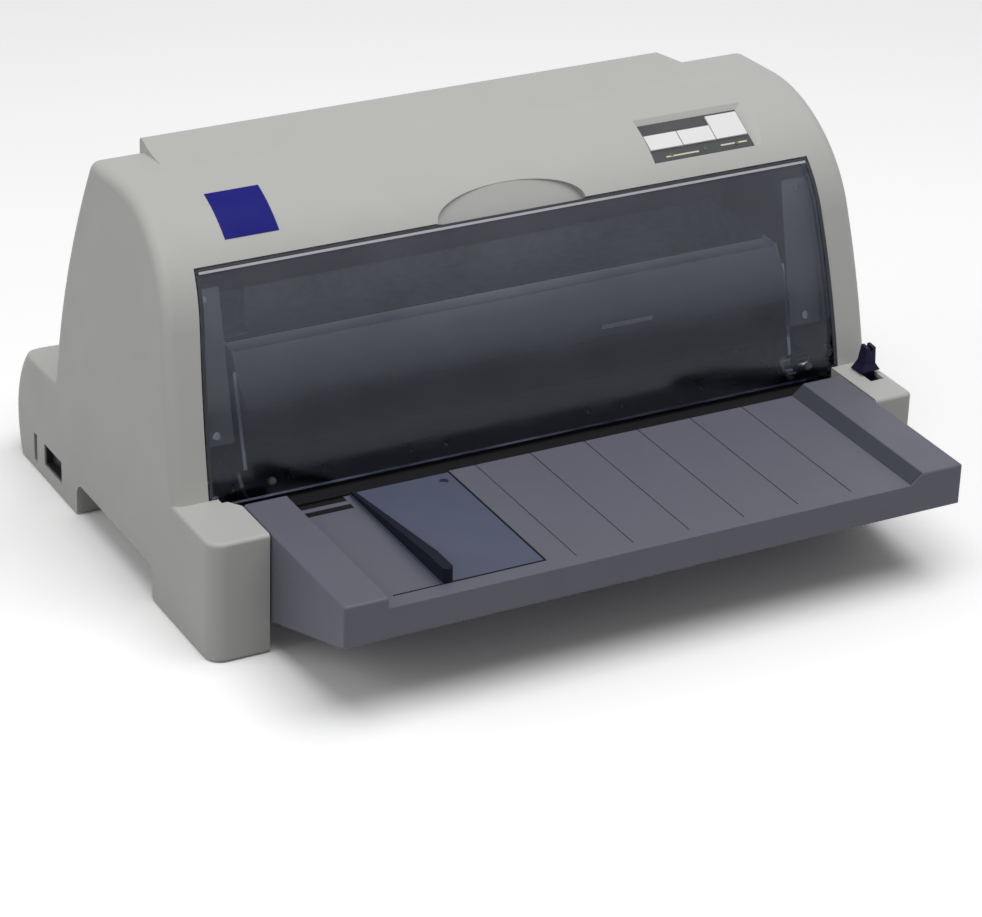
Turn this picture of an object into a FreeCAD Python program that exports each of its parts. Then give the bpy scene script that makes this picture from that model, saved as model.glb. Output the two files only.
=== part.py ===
import FreeCAD, Part
import math
import os
from FreeCAD import Vector

# Flatbed dot matrix printer with a hinged smoked front cover and a hinged rear cover.
# X runs to the user's right, Y runs from the paper tray at the front to the back, Z is up.
# Y is counted from the foot of the hood's front. At the end every part moves by one amount,
# which puts the origin on the table in the middle of the printer's footprint. Lengths in mm.

# Whole machine
machine_width = 468.0
tray_reach = 92.85
tower_reach = 50.4
hood_depth = 182.0
box_depth = 67.25
foot_height = 1.5
wall = 2.6
overrun = 5.0
move_gap = 0.4
run_gap = 0.05
press_gap = 0.02

# Housing outline, seen from the side
tower_top_z = 76.3
tower_corner_radius = 10.0
tower_right_radius = 3.4
crown_y = 101.9
crown_top_z = 233.2
crown_radius = 81.5
shoulder_angle = 15.5
top_fall_angle = 2.7
hood_back_run = 34.2
hood_back_bow = 3.5
hood_back_radius = 8.0
hood_side_radius = 7.0
back_bulge_radius = 71.8
back_bulge_z = 27.0
back_box_top_z = 74.0
back_corner_radius = 8.0
box_top_radius = 2.4
side_draft_z = 60.0
side_draft_radius = 1166.0
seam_z = 6.0

# Raised lip along the back of the hood
lip_left_inset = 46.2
lip_right_inset = 77.0
lip_slope_width = 24.0
lip_start_y = 119.0
lip_back_y = 151.5
lip_rise = 6.6
lip_sag = 2.2
lip_edge_radius = 2.5

# Space for the paper tray between the two front towers
left_tower_width = 36.5
right_tower_width = 26.4
tray_chamfer = 9.0
tray_chamfer_run = 13.0
tray_gap = 0.9

# Hand recess in each side
grip_front_y = 33.0
grip_back_y = 148.0
grip_height = 23.0
grip_depth = 40.0
grip_radius = 9.0

# Rubber feet
foot_radius = 8.0
foot_inset_x = 14.0
foot_front_y = -17.0
foot_back_inset = 44.25
foot_sink = 1.2

# Front cover, its frame and its hinge
window_inset = 22.0
tongue_inset = 27.9
window_gap = 0.5
window_thick = 2.6
window_top_angle = 39.3
window_low_z = 71.6
slot_low_z = 64.0
window_side_depth = 8.0
cover_pivot_y = 7.5
cover_pivot_z = 84.0
cover_ear_radius = 5.4
cover_pin_radius = 2.0
jamb_thick = 2.4
jamb_back_y = 55.0
jamb_low_z = 70.0

# Finger scoop above the front cover
scoop_half = 49.0
scoop_length = 18.4
scoop_angle = 46.0
scoop_rim = 0.7
scoop_depth = 5.2
scoop_wall = 2.0
scoop_bow = 3.2

# Badge plate
badge_inset = 54.0
badge_size = 33.6
badge_top_angle = 72.4
badge_thick = 0.9
badge_proud = 0.35

# Control panel, laid out on a plane that faces up and forward
panel_angle = 60.8
panel_inset = 54.0
panel_width = 79.0
panel_half = 18.6
panel_drop = 3.2
panel_floor = 2.0
panel_slope = 7.0
overlay_thick = 0.8
overlay_edge = 0.5
strip_length = 9.0
button_gap = 0.3
button_travel = 0.7
button_thick = 1.3
button_widths = (22.6, 22.6, 21.8)
button_lengths = (11.2, 11.2, 18.0)
button_stem_radius = 2.0
board_drop = 8.5
board_thick = 1.6
key_height = 3.2
key_half = 3.0
lens_radius = 1.3
lens_proud = 0.3
lens_shares = (0.19, 0.53, 0.85)
post_radius = 2.0

# Rear cover
back_cover_left_inset = 51.0
back_cover_right_inset = 59.0
back_cover_low_z = 112.0
back_cover_thick = 2.4
back_pivot_inset = 2.8
back_pivot_drop = 13.7
back_knuckle_radius = 5.0
back_opening_drop = 5.6
back_pin_radius = 2.0
back_cheek = 3.0
back_slot_inset = 84.0
back_slot_low_z = 84.0
back_slot_high_z = 100.0

# Paper tray
tray_top_z = 76.7
tray_lip_z = 51.0
tray_skirt_z = 19.0
tray_skirt_y = -47.0
tray_back_y = -13.0
tray_wall = 2.4
tray_edge_radius = 1.6
bed_z = 70.0
bed_left_inset = 27.5
bed_right_inset = 36.6
bed_right_slope = 8.0
groove_first_inset = 19.0
groove_last_inset = 36.1
groove_count = 6
groove_width = 0.9
groove_depth = 0.6
groove_front_inset = 9.0
tray_hook_width = 24.0
tray_hook_height = 10.0
tray_hook_share = 0.51
tray_rib_share = 0.28

# Edge guide in the tray
guide_pocket_depth = 2.0
guide_pocket_inset = 4.4
guide_width = 63.2
guide_front_inset = 12.85
guide_back_gap = 1.5
guide_line = 1.6
guide_line_depth = 1.2
guide_line_inset = 4.6
guide_travel = 35.0
fence_thick = 2.2
fence_low = 1.6
fence_height = 9.0
fence_front_inset = 14.6
fence_head_length = 17.0
fence_head_width = 6.6
guide_slot_length = 31.0
guide_slot_width = 5.3
guide_slot_inset = 0.8
guide_slot_gap = 4.0
guide_hole_radius = 2.7
guide_hole_side = 6.9
guide_hole_back = 8.6

# Paper path
paper_z = 71.0
entry_thick = 1.5
entry_drop = 1.6
entry_front_y = -11.6
entry_back_y = 56.0
entry_window = 7.4
entry_side_gap = 2.4

# Side frames of the mechanism
frame_inset = 51.0
frame_thick = 2.0
frame_front_y = 9.0
frame_back_y = 174.0
frame_top_z = 150.0
frame_step_z = 67.5
frame_ramp_y = 16.5
frame_ramp_z = 71.0
frame_notch_y = 21.5
frame_notch_low_z = 76.5
frame_notch_high_z = 78.5
frame_guard_y = 12.0
frame_guard_z = 84.5
frame_nose_y = 27.0
frame_nose_z = 140.0
frame_top_back_y = 115.0
frame_back_z = 108.0
frame_flange = 10.0

# Platen and its knob
platen_y = 73.0
platen_radius = 15.0
platen_end_gap = 7.0
platen_shaft_radius = 4.0
knob_radius = 12.5
knob_length = 18.0
knob_hole_radius = 14.0
knob_ribs = 20
knob_rib_depth = 0.7
bush_wall = 2.2
bush_flange = 1.5

# Gear train on the right frame
gear_module = 1.5
gear_width = 6.0
gear_stand_off = 2.0
platen_teeth = 32
front_idler_teeth = 14
front_teeth = 12
tractor_idler_teeth = 28
tractor_teeth = 26
pinion_teeth = 12
pinion_angle = 75.0
pressure_angle = 20.0
gear_backlash = 0.16
stud_radius = 3.0
gear_web_share = 0.45
gear_hub_share = 0.3

# Front feed rollers
feed_roller_y = 26.0
feed_roller_radius = 6.5
feed_shaft_radius = 2.0
feed_roller_width = 20.0
feed_roller_shares = (-0.765, -0.328, 0.328, 0.765)

# Motors
feed_motor_size = 36.0
feed_motor_length = 30.0
motor_shaft_radius = 2.5
motor_flange = 2.0
feed_motor_stand = 3.0
post_size = 6.0
carriage_motor_size = 40.0
carriage_motor_length = 30.0

# Carriage, print head and what they run on
rest_x = 25.0
guide_y = 103.0
guide_z = 98.0
guide_radius = 6.0
rail_front_y = 45.0
rail_back_y = 55.0
rail_top_z = 94.0
sheet = 2.0
carriage_half = 25.0
carriage_top_z = 106.0
carriage_plate = 10.0
bearing_half = 9.0
head_half = 16.5
head_front_y = 59.5
head_back_y = 86.5
head_low_z = 84.0
head_high_z = 112.0
head_flange = 2.0
head_gap = 0.4
nose_half = 5.0
nose_depth = 12.0
fin_count = 6
fin_height = 16.0
fin_thick = 1.8

# Timing belt and pulleys
belt_y = 125.0
belt_z = 113.0
belt_height = 6.0
belt_thick = 1.4
belt_inner_radius = 7.6
pulley_radius = 7.25
pulley_flange_radius = 10.0
pulley_flange = 1.0
pulley_inset = 23.0
clamp_half = 8.0
clamp_wall = 1.6
beam_low_z = 120.5
beam_front_y = 103.0
beam_back_y = 147.0

# Ribbon cartridge
cartridge_inset = 25.0
cartridge_front_y = 20.0
cartridge_back_y = 40.0
cartridge_low_z = 96.0
cartridge_height = 18.0
cartridge_arm_width = 10.0
cartridge_arm_height = 8.0
ribbon_width = 12.0
ribbon_thick = 0.3
ribbon_gap = 1.0
cartridge_lug = 3.0
ribbon_knob_radius = 7.0
ribbon_knob_height = 6.0

# Clear guard behind the front cover
guard_ledge_y = 36.0
guard_ledge_z = 148.7
guard_belly_y = 16.5
guard_belly_z = 122.0
guard_low_y = 14.0
guard_low_z = 96.0
guard_thick = 1.6
guard_shelf = 12.0
guard_rim = 2.0

# Tractors
tractor_y = 155.0
tractor_z = 80.0
tractor_inset = 63.0
tractor_half = 8.0
tractor_front_y = 130.5
tractor_back_y = 170.0
tractor_low_z = 67.0
tractor_top_z = 90.0
tractor_shaft_side = 8.0
tractor_journal_radius = 3.5
support_y = 136.5
support_radius = 3.5
sprocket_radius = 10.8
sprocket_width = 8.0
sprocket_pins = 6
sprocket_pin_radius = 1.5
sprocket_pin_height = 2.6
lid_low_z = 94.0
lid_thick = 2.4
lid_pin_radius = 1.0
lid_knuckle_radius = 2.0
lid_end_gap = 3.0

# Rear paper guide
back_guide_front_y = 91.0
back_guide_front_z = 69.5
back_guide_back_y = 127.5
back_guide_back_z = 88.0

# Release lever
lever_inset = 10.0
lever_pivot_y = -9.0
lever_pivot_z = 34.0
lever_lean = 5.0
lever_swing = 9.0
lever_top_z = 94.5
lever_stem_half = 4.0
lever_flare = 2.4
lever_clear = 0.5
lever_waist = 5.5
lever_tip_half = 3.2
lever_notch = 2.2
lever_notch_depth = 2.4
lever_boss_radius = 7.0
lever_pin_radius = 3.0
lever_slot_front_y = -26.6
lever_slot_back_y = -7.4
lever_slot_half = 4.8

# Power switch in the left side
switch_width = 28.0
switch_back_inset = 49.25
switch_low_z = 10.0
switch_high_z = 25.0
switch_depth = 20.0
switch_wall = 1.5
switch_inset = 0.8
rocker_tilt = 6.0
rocker_pivot_inset = 7.0
rocker_pin_radius = 1.2
side_slit_inset = 37.25
side_slit_width = 5.0
side_slit_top_z = 25.0

# Sockets in the back
port_depth = 16.25
port_z = 36.0
inlet_inset = 84.0
inlet_width = 30.0
inlet_height = 23.0
parallel_share = 0.3125
parallel_width = 62.0
parallel_height = 16.0
usb_share = 0.7375
usb_width = 14.0
usb_height = 13.0
port_body_depth = 18.0
port_margin = 5.0
port_proud = 4.0
port_shell = 1.6
blade_width = 2.0
blade_height = 6.0
blade_spread = 7.0
tongue_height = 3.0

# Boards inside the case
board_low_z = 12.0
board_back_inset = 27.25
board_depth = 66.0
board_middle_x = 10.0
main_board_inset = 64.0
supply_inset = 60.0
supply_gap = 64.0
standoff_radius = 3.5
board_inset = 6.0
chip_height = 3.0
chip_side = 24.0
chip_count = 4
transformer_width = 46.0
transformer_depth = 38.0
transformer_height = 34.0
capacitor_radius = 9.0
capacitor_height = 26.0

# Screws that join the two halves of the case
screw_inset = 14.0
screw_front_inset = 11.4
screw_back_inset = 20.25
screw_radius = 1.7
screw_head_radius = 3.4
screw_head_height = 2.0
screw_length = 22.0
screw_recess = 0.6
boss_radius = 5.0
boss_split_z = 12.0

half_width = machine_width / 2
hood_foot_y = 0.0
tower_front_y = -tower_reach
front_y = tower_front_y - tray_reach
hood_back_foot_y = hood_depth
back_y = hood_depth + box_depth
hood_back_y = hood_back_foot_y - hood_back_run
machine_depth = back_y - front_y
centre_y = (front_y + back_y) / 2
crown_z = crown_top_z - crown_radius
case_floor_z = foot_height + wall
tray_left_x = -half_width + left_tower_width
tray_right_x = half_width - right_tower_width
lip_left_x = -half_width + lip_left_inset
lip_right_x = half_width - lip_right_inset
lip_top_z = crown_top_z + lip_rise
foot_back_y = back_y - foot_back_inset
window_half = half_width - window_inset
tongue_half = half_width - tongue_inset
badge_left_x = -half_width + badge_inset
panel_right_x = half_width - panel_inset
panel_left_x = panel_right_x - panel_width
back_cover_left_x = -half_width + back_cover_left_inset
back_cover_right_x = half_width - back_cover_right_inset
back_pivot_y = hood_back_y - back_pivot_inset
back_pivot_z = crown_top_z - back_pivot_drop
back_opening_top_z = crown_top_z - back_opening_drop
back_slot_half = half_width - back_slot_inset
bed_left_x = tray_left_x + bed_left_inset
bed_right_x = tray_right_x - bed_right_inset
guide_pocket_left_x = bed_left_x + guide_pocket_inset
guide_left_x = guide_pocket_left_x + guide_travel + move_gap
guide_right_x = guide_left_x + guide_width
guide_front_y = front_y + guide_front_inset
guide_back_y = tray_back_y - guide_back_gap
fence_front_y = front_y + fence_front_inset
frame_x = half_width - frame_inset
platen_z = paper_z - platen_radius
platen_half = frame_x - platen_end_gap
gear_near_x = frame_x + frame_thick + gear_stand_off
gear_far_x = gear_near_x + gear_width
pulley_x = frame_x - pulley_inset
cartridge_half = frame_x - cartridge_inset
tractor_places = (tractor_inset - frame_x, frame_x - tractor_inset)
lever_x = half_width - lever_inset
switch_back_y = back_y - switch_back_inset
switch_front_y = switch_back_y - switch_width
side_slit_y = back_y - side_slit_inset
port_floor_y = back_y - port_depth
main_board_width = half_width - main_board_inset - board_middle_x
board_front_y = back_y - board_back_inset - board_depth
supply_left_x = -half_width + supply_inset
supply_width = board_middle_x - supply_gap - supply_left_x
inlet_x = -half_width + inlet_inset
parallel_x = board_middle_x + parallel_share * main_board_width
usb_x = board_middle_x + usb_share * main_board_width
screw_x = half_width - screw_inset
screw_front_y = tower_front_y + screw_front_inset
screw_back_y = back_y - screw_back_inset


# Small helpers

def block(x0, x1, y0, y1, z0, z1):
    return Part.makeBox(x1 - x0, y1 - y0, z1 - z0, Vector(x0, y0, z0))


def rod_x(x0, x1, y, z, radius):
    return Part.makeCylinder(radius, x1 - x0, Vector(x0, y, z), Vector(1, 0, 0))


def rod_y(x, y0, y1, z, radius):
    return Part.makeCylinder(radius, y1 - y0, Vector(x, y0, z), Vector(0, 1, 0))


def rod_z(x, y, z0, z1, radius):
    return Part.makeCylinder(radius, z1 - z0, Vector(x, y, z0), Vector(0, 0, 1))


def at(y, z):
    return Vector(0, y, z)


def polar(y, z, radius, angle):
    turn = math.radians(angle)
    return at(y + radius * math.cos(turn), z + radius * math.sin(turn))


def line(p, q):
    return Part.makeLine(p, q)


def arc(p, middle, q):
    return Part.Arc(p, middle, q).toShape()


def face_of(edges):
    return Part.Face(Part.Wire(edges))


def polygon(points):
    return Part.Face(Part.makePolygon(points + [points[0]]))


def prism_x(points, x0, x1):
    face = polygon([Vector(x0, y, z) for y, z in points])
    return face.extrude(Vector(x1 - x0, 0, 0))


def prism_y(points, y0, y1):
    face = polygon([Vector(x, y0, z) for x, z in points])
    return face.extrude(Vector(0, y1 - y0, 0))


def prism_z(points, z0, z1):
    face = polygon([Vector(x, y, z0) for x, y in points])
    return face.extrude(Vector(0, 0, z1 - z0))


def joined(shapes):
    whole = shapes[0]
    for shape in shapes[1:]:
        whole = whole.fuse(shape)
    return whole.removeSplitter()


def less(shape, cutters):
    for cutter in cutters:
        shape = shape.cut(cutter)
    return shape


def width_of(edge):
    return edge.BoundBox.XMax - edge.BoundBox.XMin


def rise_of(edge):
    return edge.BoundBox.ZMax - edge.BoundBox.ZMin


def run_of(edge):
    return edge.BoundBox.YMax - edge.BoundBox.YMin


def save(name, shape):
    if isinstance(shape, list):
        shape = Part.makeCompound(shape)
    shape.translate(Vector(0, -centre_y, 0))
    shape.exportStep(os.path.join("parts", name + ".step"))
    print(name, len(shape.Solids), round(shape.Volume / 1000, 2), shape.isValid())


# Housing outline

def arc_beyond(shape_arc, z, forward):
    """The point of a circle's arc at height z, on its front or its back side."""
    circle = shape_arc.Curve
    reach = math.sqrt(circle.Radius ** 2 - (z - circle.Center.z) ** 2)
    return at(circle.Center.y + (-reach if forward else reach), z)


def front_arc():
    """The hood's front, a long arc that meets the crown smoothly at the shoulder."""
    shoulder = polar(crown_y, crown_z, crown_radius, 180 - shoulder_angle)
    foot = at(hood_foot_y, tower_top_z)
    tilt = math.radians(shoulder_angle)
    inward = Vector(0, math.cos(tilt), -math.sin(tilt))
    chord = foot - shoulder
    radius = chord.dot(chord) / (2 * chord.dot(inward))
    centre = shoulder + inward * radius
    reach = math.sqrt(radius ** 2 - (foot_height - centre.z) ** 2)
    low = at(centre.y - math.copysign(reach, radius), foot_height)
    toward = (low + shoulder) * 0.5 - centre
    toward.normalize()
    return arc(low, centre + toward * abs(radius), shoulder)


def back_arc():
    """The hood's sloping back, a long arc down to the case's floor."""
    fall = polar(crown_y, crown_z, crown_radius, 90 - top_fall_angle)
    drop = (hood_back_y - fall.y) * math.tan(math.radians(top_fall_angle))
    top = at(hood_back_y, fall.z - drop)
    foot = at(hood_back_foot_y, tower_top_z)
    chord = foot - top
    outward = Vector(0, -chord.z / chord.Length, chord.y / chord.Length)
    bow = arc(top, (top + foot) * 0.5 + outward * hood_back_bow, foot)
    return arc(top, foot, arc_beyond(bow, foot_height, False))


def top_z_at(y):
    fall = polar(crown_y, crown_z, crown_radius, 90 - top_fall_angle)
    return fall.z - (y - fall.y) * math.tan(math.radians(top_fall_angle))


def hood_edges():
    front = front_arc()
    back = back_arc()
    shoulder = polar(crown_y, crown_z, crown_radius, 180 - shoulder_angle)
    fall = polar(crown_y, crown_z, crown_radius, 90 - top_fall_angle)
    middle = (180 - shoulder_angle + 90 - top_fall_angle) / 2
    crown = arc(shoulder, polar(crown_y, crown_z, crown_radius, middle), fall)
    low_front = front.Vertexes[0].Point
    top_back = back.Vertexes[0].Point
    low_back = back.Vertexes[-1].Point
    return [front, crown, line(fall, top_back), back, line(low_back, low_front)]


def base_edges():
    bulge_y = back_y - back_bulge_radius
    def bulge(z):
        return at(bulge_y + math.sqrt(back_bulge_radius ** 2 - (z - back_bulge_z) ** 2), z)
    low_front = at(tower_front_y, foot_height)
    high_front = at(tower_front_y, tower_top_z)
    hood_foot = at(hood_back_foot_y, tower_top_z)
    top = bulge(back_box_top_z)
    low = bulge(foot_height)
    return [line(low_front, high_front), line(high_front, hood_foot), line(hood_foot, top),
            arc(top, bulge(back_bulge_z), low), line(low, low_front)]


def side_profile_prism(edges, inset):
    face = face_of(edges)
    if inset:
        face = face.makeOffset2D(-inset)
    face.translate(Vector(-half_width - overrun, 0, 0))
    return face.extrude(Vector(machine_width + 2 * overrun, 0, 0))


def draft_prism(inset):
    """Everything between the two sides, which are upright below and lean in above."""
    top = crown_top_z + machine_depth
    high = crown_top_z + side_draft_z
    middle = (side_draft_z + high) / 2
    def lean(z):
        return side_draft_radius - math.sqrt(side_draft_radius ** 2 - (z - side_draft_z) ** 2)
    half = half_width - inset
    def spot(x, z):
        return Vector(x, -machine_depth, z)
    edges = [line(spot(-half, -top), spot(-half, side_draft_z)),
             arc(spot(-half, side_draft_z), spot(-half + lean(middle), middle),
                 spot(-half + lean(high), high)),
             line(spot(-half + lean(high), high), spot(half - lean(high), high)),
             arc(spot(half - lean(high), high), spot(half - lean(middle), middle),
                 spot(half, side_draft_z)),
             line(spot(half, side_draft_z), spot(half, -top)),
             line(spot(half, -top), spot(-half, -top))]
    return face_of(edges).extrude(Vector(0, 2 * machine_depth, 0))


def hood_solid(inset):
    hood = side_profile_prism(hood_edges(), inset).common(draft_prism(inset))
    back_edge = [e for e in hood.Edges if width_of(e) > half_width and run_of(e) < run_gap
                 and e.BoundBox.ZMin > crown_z and e.BoundBox.YMin > hood_back_y - 2 * wall - run_gap]
    hood = hood.makeFillet(hood_back_radius - inset, back_edge)
    sides = [e for e in hood.Edges if width_of(e) < half_width
             and (rise_of(e) > press_gap or e.BoundBox.ZMin > crown_z)]
    return hood.makeFillet(hood_side_radius - inset, sides)


def base_solid(inset):
    base = side_profile_prism(base_edges(), inset).common(draft_prism(inset))
    upright = [e for e in base.Edges if width_of(e) < wall and run_of(e) < press_gap]
    sharp = [e for e in upright if e.BoundBox.XMin > 0]
    base = base.makeFillet(tower_right_radius - inset, sharp)
    upright = [e for e in base.Edges if width_of(e) < wall and run_of(e) < press_gap
               and e.BoundBox.XMax < 0]
    base = base.makeFillet(tower_corner_radius - inset, upright)
    rear = [e for e in base.Edges if width_of(e) < half_width and rise_of(e) > wall
            and e.BoundBox.YMin > back_y - 2 * tower_corner_radius - wall]
    base = base.makeFillet(back_corner_radius - inset, rear)
    if inset == 0:
        rim = [e for e in base.Edges if e.BoundBox.ZMin > back_box_top_z - box_top_radius / 2
               and not (width_of(e) > half_width and abs(e.BoundBox.YMin - hood_back_foot_y) < wall)]
        base = base.makeFillet(box_top_radius, rim)
    return base


def tray_space(grown):
    """The room for the paper tray between the towers, or that room with walls around it."""
    left = tray_left_x - grown
    right = tray_right_x + grown
    foot = hood_foot_y + grown
    corners = [(left, front_y - overrun), (right, front_y - overrun), (right, foot),
               (left - tray_chamfer, foot), (left, foot - tray_chamfer_run)]
    return prism_z(corners, -overrun, tower_top_z - grown + (overrun if grown == 0 else 0))


def case_shell():
    outer = hood_solid(0).fuse(base_solid(0)).cut(tray_space(0))
    inner = hood_solid(wall).fuse(base_solid(wall)).cut(tray_space(wall))
    return outer.cut(inner)


def crown_band(x0, x1, low_angle, high_angle, inner, outer):
    """A piece of the crown's wall, between two angles measured up from the front."""
    middle = (low_angle + high_angle) / 2
    def spot(radius, angle):
        point = polar(crown_y, crown_z, radius, 180 - angle)
        return Vector(x0, point.y, point.z)
    edges = [arc(spot(outer, low_angle), spot(outer, middle), spot(outer, high_angle)),
             line(spot(outer, high_angle), spot(inner, high_angle)),
             arc(spot(inner, high_angle), spot(inner, middle), spot(inner, low_angle)),
             line(spot(inner, low_angle), spot(outer, low_angle))]
    return face_of(edges).extrude(Vector(x1 - x0, 0, 0))


def tilted(shape, angle):
    """Moves a shape from the crown's own axes, X, up the slope and outward, to its place."""
    placed = shape.copy()
    placed.rotate(Vector(0, 0, 0), Vector(1, 0, 0), 90 - angle)
    placed.translate(Vector(0, crown_y, crown_z))
    return placed


def grip_prism(grown, depth):
    """The hand recess of the right side, an arch with round upper corners."""
    low = -overrun
    front = grip_front_y - grown
    back = grip_back_y + grown
    top = grip_height + grown
    radius = grip_radius + grown
    corner = radius * math.sqrt(0.5)
    edges = [line(at(front, low), at(front, top - radius)),
             arc(at(front, top - radius), at(front + radius - corner, top - radius + corner),
                 at(front + radius, top)),
             line(at(front + radius, top), at(back - radius, top)),
             arc(at(back - radius, top), at(back - radius + corner, top - radius + corner),
                 at(back, top - radius)),
             line(at(back, top - radius), at(back, low)),
             line(at(back, low), at(front, low))]
    face = face_of(edges)
    face.translate(Vector(half_width - depth, 0, 0))
    return face.extrude(Vector(depth + overrun, 0, 0))


def mirrored(shape):
    return shape.mirror(Vector(0, 0, 0), Vector(1, 0, 0))


# Case halves

def window_cutter():
    """Cuts the front cover's opening and the paper slot under it out of the hood's front."""
    half = window_half + window_gap
    upper = polar(crown_y, crown_z, crown_radius + overrun, 180 - window_top_angle)
    inner = polar(crown_y, crown_z, crown_radius - 2 * wall, 180 - window_top_angle)
    out_y = hood_foot_y - overrun
    side = [(upper.y, upper.z), (inner.y, inner.z), (inner.y, tower_top_z),
            (out_y, tower_top_z), (out_y, upper.z)]
    behind = block(-half, half, hood_foot_y, hood_foot_y + 2 * wall, slot_low_z, tower_top_z)
    window = prism_x(side, -half, half).fuse(behind)
    window = window.common(draft_prism(window_inset - window_gap))
    slot = block(-tongue_half - window_gap, tray_right_x, hood_foot_y - overrun,
                 hood_foot_y + 2 * wall, slot_low_z, tower_top_z)
    return window.fuse(slot)


def jambs():
    """Upright plates beside the front opening that carry the front cover's pins."""
    room = hood_solid(wall - press_gap)
    near = window_half + window_gap
    plates = []
    for x0, x1 in ((near, near + jamb_thick), (-near - jamb_thick, -near)):
        slab = block(x0, x1, tower_front_y, jamb_back_y, jamb_low_z, crown_top_z)
        plates.append(slab.common(room))
    return plates


def lip_solid():
    """The raised lip at the back of the hood, upright at the left, sloped at the right."""
    start = at(lip_start_y, top_z_at(lip_start_y))
    crest = at(lip_back_y, lip_top_z)
    middle = (start + crest) * 0.5 - Vector(0, 0, lip_sag)
    under = at(lip_back_y, back_opening_top_z)
    inside = at(lip_start_y, top_z_at(lip_start_y) - wall)
    face = face_of([arc(start, middle, crest), line(crest, under), line(under, inside),
                    line(inside, start)])
    face.translate(Vector(lip_left_x, 0, 0))
    width = lip_right_x + lip_slope_width - lip_left_x
    lip = face.extrude(Vector(width, 0, 0))
    crest_edge = [e for e in lip.Edges if width_of(e) > half_width
                  and e.BoundBox.ZMin > lip_top_z - press_gap]
    lip = lip.makeFillet(lip_edge_radius, crest_edge)
    rise = lip_top_z - back_opening_top_z
    slope = [(lip_right_x, lip_top_z), (lip_right_x, lip_top_z + overrun),
             (lip_right_x + 2 * lip_slope_width, lip_top_z + overrun),
             (lip_right_x + 2 * lip_slope_width, lip_top_z - 2 * rise)]
    return lip.cut(prism_y(slope, lip_start_y - overrun, lip_back_y + overrun))


def back_opening():
    """Room for the rear cover and its knuckles."""
    x0 = back_cover_left_x - move_gap
    x1 = back_cover_right_x + move_gap
    inner_y = back_pivot_y - back_knuckle_radius - move_gap
    panel = block(x0, x1, inner_y, back_y, back_cover_low_z - move_gap, back_opening_top_z)
    slot = block(-back_slot_half, back_slot_half, inner_y, back_y, back_slot_low_z, back_slot_high_z)
    return [panel, slot]


def panel_plane():
    """Distance of the control panel's floor from the crown's axis."""
    return crown_radius - panel_drop


def panel_cutter():
    floor = panel_plane()
    low = -panel_half + overlay_edge
    top = crown_radius + overrun
    stretch = (top - floor) / panel_drop
    x_run = panel_slope * stretch
    bottom = [Vector(panel_left_x, low, floor), Vector(panel_right_x - panel_slope, low, floor),
              Vector(panel_right_x - panel_slope, panel_half - panel_slope, floor),
              Vector(panel_left_x, panel_half - panel_slope, floor)]
    upper = [Vector(panel_left_x, low, top), Vector(panel_right_x - panel_slope + x_run, low, top),
             Vector(panel_right_x - panel_slope + x_run, panel_half - panel_slope + x_run, top),
             Vector(panel_left_x, panel_half - panel_slope + x_run, top)]
    wires = [Part.makePolygon(points + [points[0]]) for points in (bottom, upper)]
    return tilted(Part.makeLoft(wires, True, True), panel_angle)


def panel_pan():
    floor = panel_plane()
    pan = block(panel_left_x - wall, panel_right_x + wall, -panel_half - wall, panel_half + wall,
                floor - panel_floor, crown_radius)
    inside = hood_solid(press_gap)
    return tilted(pan, panel_angle).common(inside)


def button_spots():
    """Left edge, lower edge, width and length of each button on the panel."""
    left = panel_left_x + 2 * overlay_edge + button_gap
    low = -panel_half + overlay_edge + strip_length + button_gap
    spots = []
    for width, length in zip(button_widths, button_lengths):
        spots.append((left, low, width, length))
        left += width + 2 * button_gap
    return spots


def lens_spots():
    left = panel_left_x + overlay_edge
    width = overlay_width()
    return [(left + share * width, -panel_half + overlay_edge + strip_length / 2)
            for share in lens_shares]


def overlay_width():
    return sum(button_widths) + 2 * button_gap * (len(button_widths) + 1)


def post_spots():
    x0 = panel_left_x + post_radius
    x1 = panel_right_x - panel_slope - post_radius
    reach = panel_half - panel_slope - post_radius
    return [(x, y) for x in (x0, x1) for y in (-reach - post_radius, reach)]


def panel_holes():
    floor = panel_plane()
    holes = []
    for left, low, width, length in button_spots():
        holes.append(rod_z(left + width / 2, low + length / 2, floor - panel_floor - overrun,
                           floor + overrun, button_stem_radius + move_gap))
    for x, y in lens_spots():
        holes.append(rod_z(x, y, floor - panel_floor - overrun, floor + overrun,
                           lens_radius + press_gap))
    return [tilted(hole, panel_angle) for hole in holes]


def panel_posts():
    high = panel_plane() - panel_floor + press_gap
    low = panel_plane() - board_drop
    return [tilted(rod_z(x, y, low, high, post_radius), panel_angle) for x, y in post_spots()]


def scoop_ellipse(half, length, low, high):
    """An oval prism on the crown, centred on the front cover's top edge."""
    shift = -crown_radius * math.sin(math.radians(scoop_angle - window_top_angle))
    oval = Part.Ellipse(Vector(0, shift, low), half, length)
    return Part.Face(Part.Wire([oval.toShape()])).extrude(Vector(0, 0, high - low))


def scoop_wedge(sunk, top):
    """Everything above the scoop's sloping floor, which is deepest at the cover's edge."""
    near = -crown_radius * math.sin(math.radians(scoop_angle - window_top_angle))
    far = near + scoop_length
    rim = crown_radius - scoop_rim - sunk
    drop = scoop_depth - scoop_rim
    side = [(far + scoop_length, rim + drop), (far + scoop_length, top),
            (near - 2 * scoop_length, top), (near - 2 * scoop_length, rim - 3 * drop)]
    return prism_x(side, -half_width, half_width)


def scoop_cutter():
    top = crown_radius + overrun
    oval = scoop_ellipse(scoop_half, scoop_length, crown_radius - 4 * scoop_depth, top)
    return tilted(oval.common(scoop_wedge(0, top)), scoop_angle)


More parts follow.
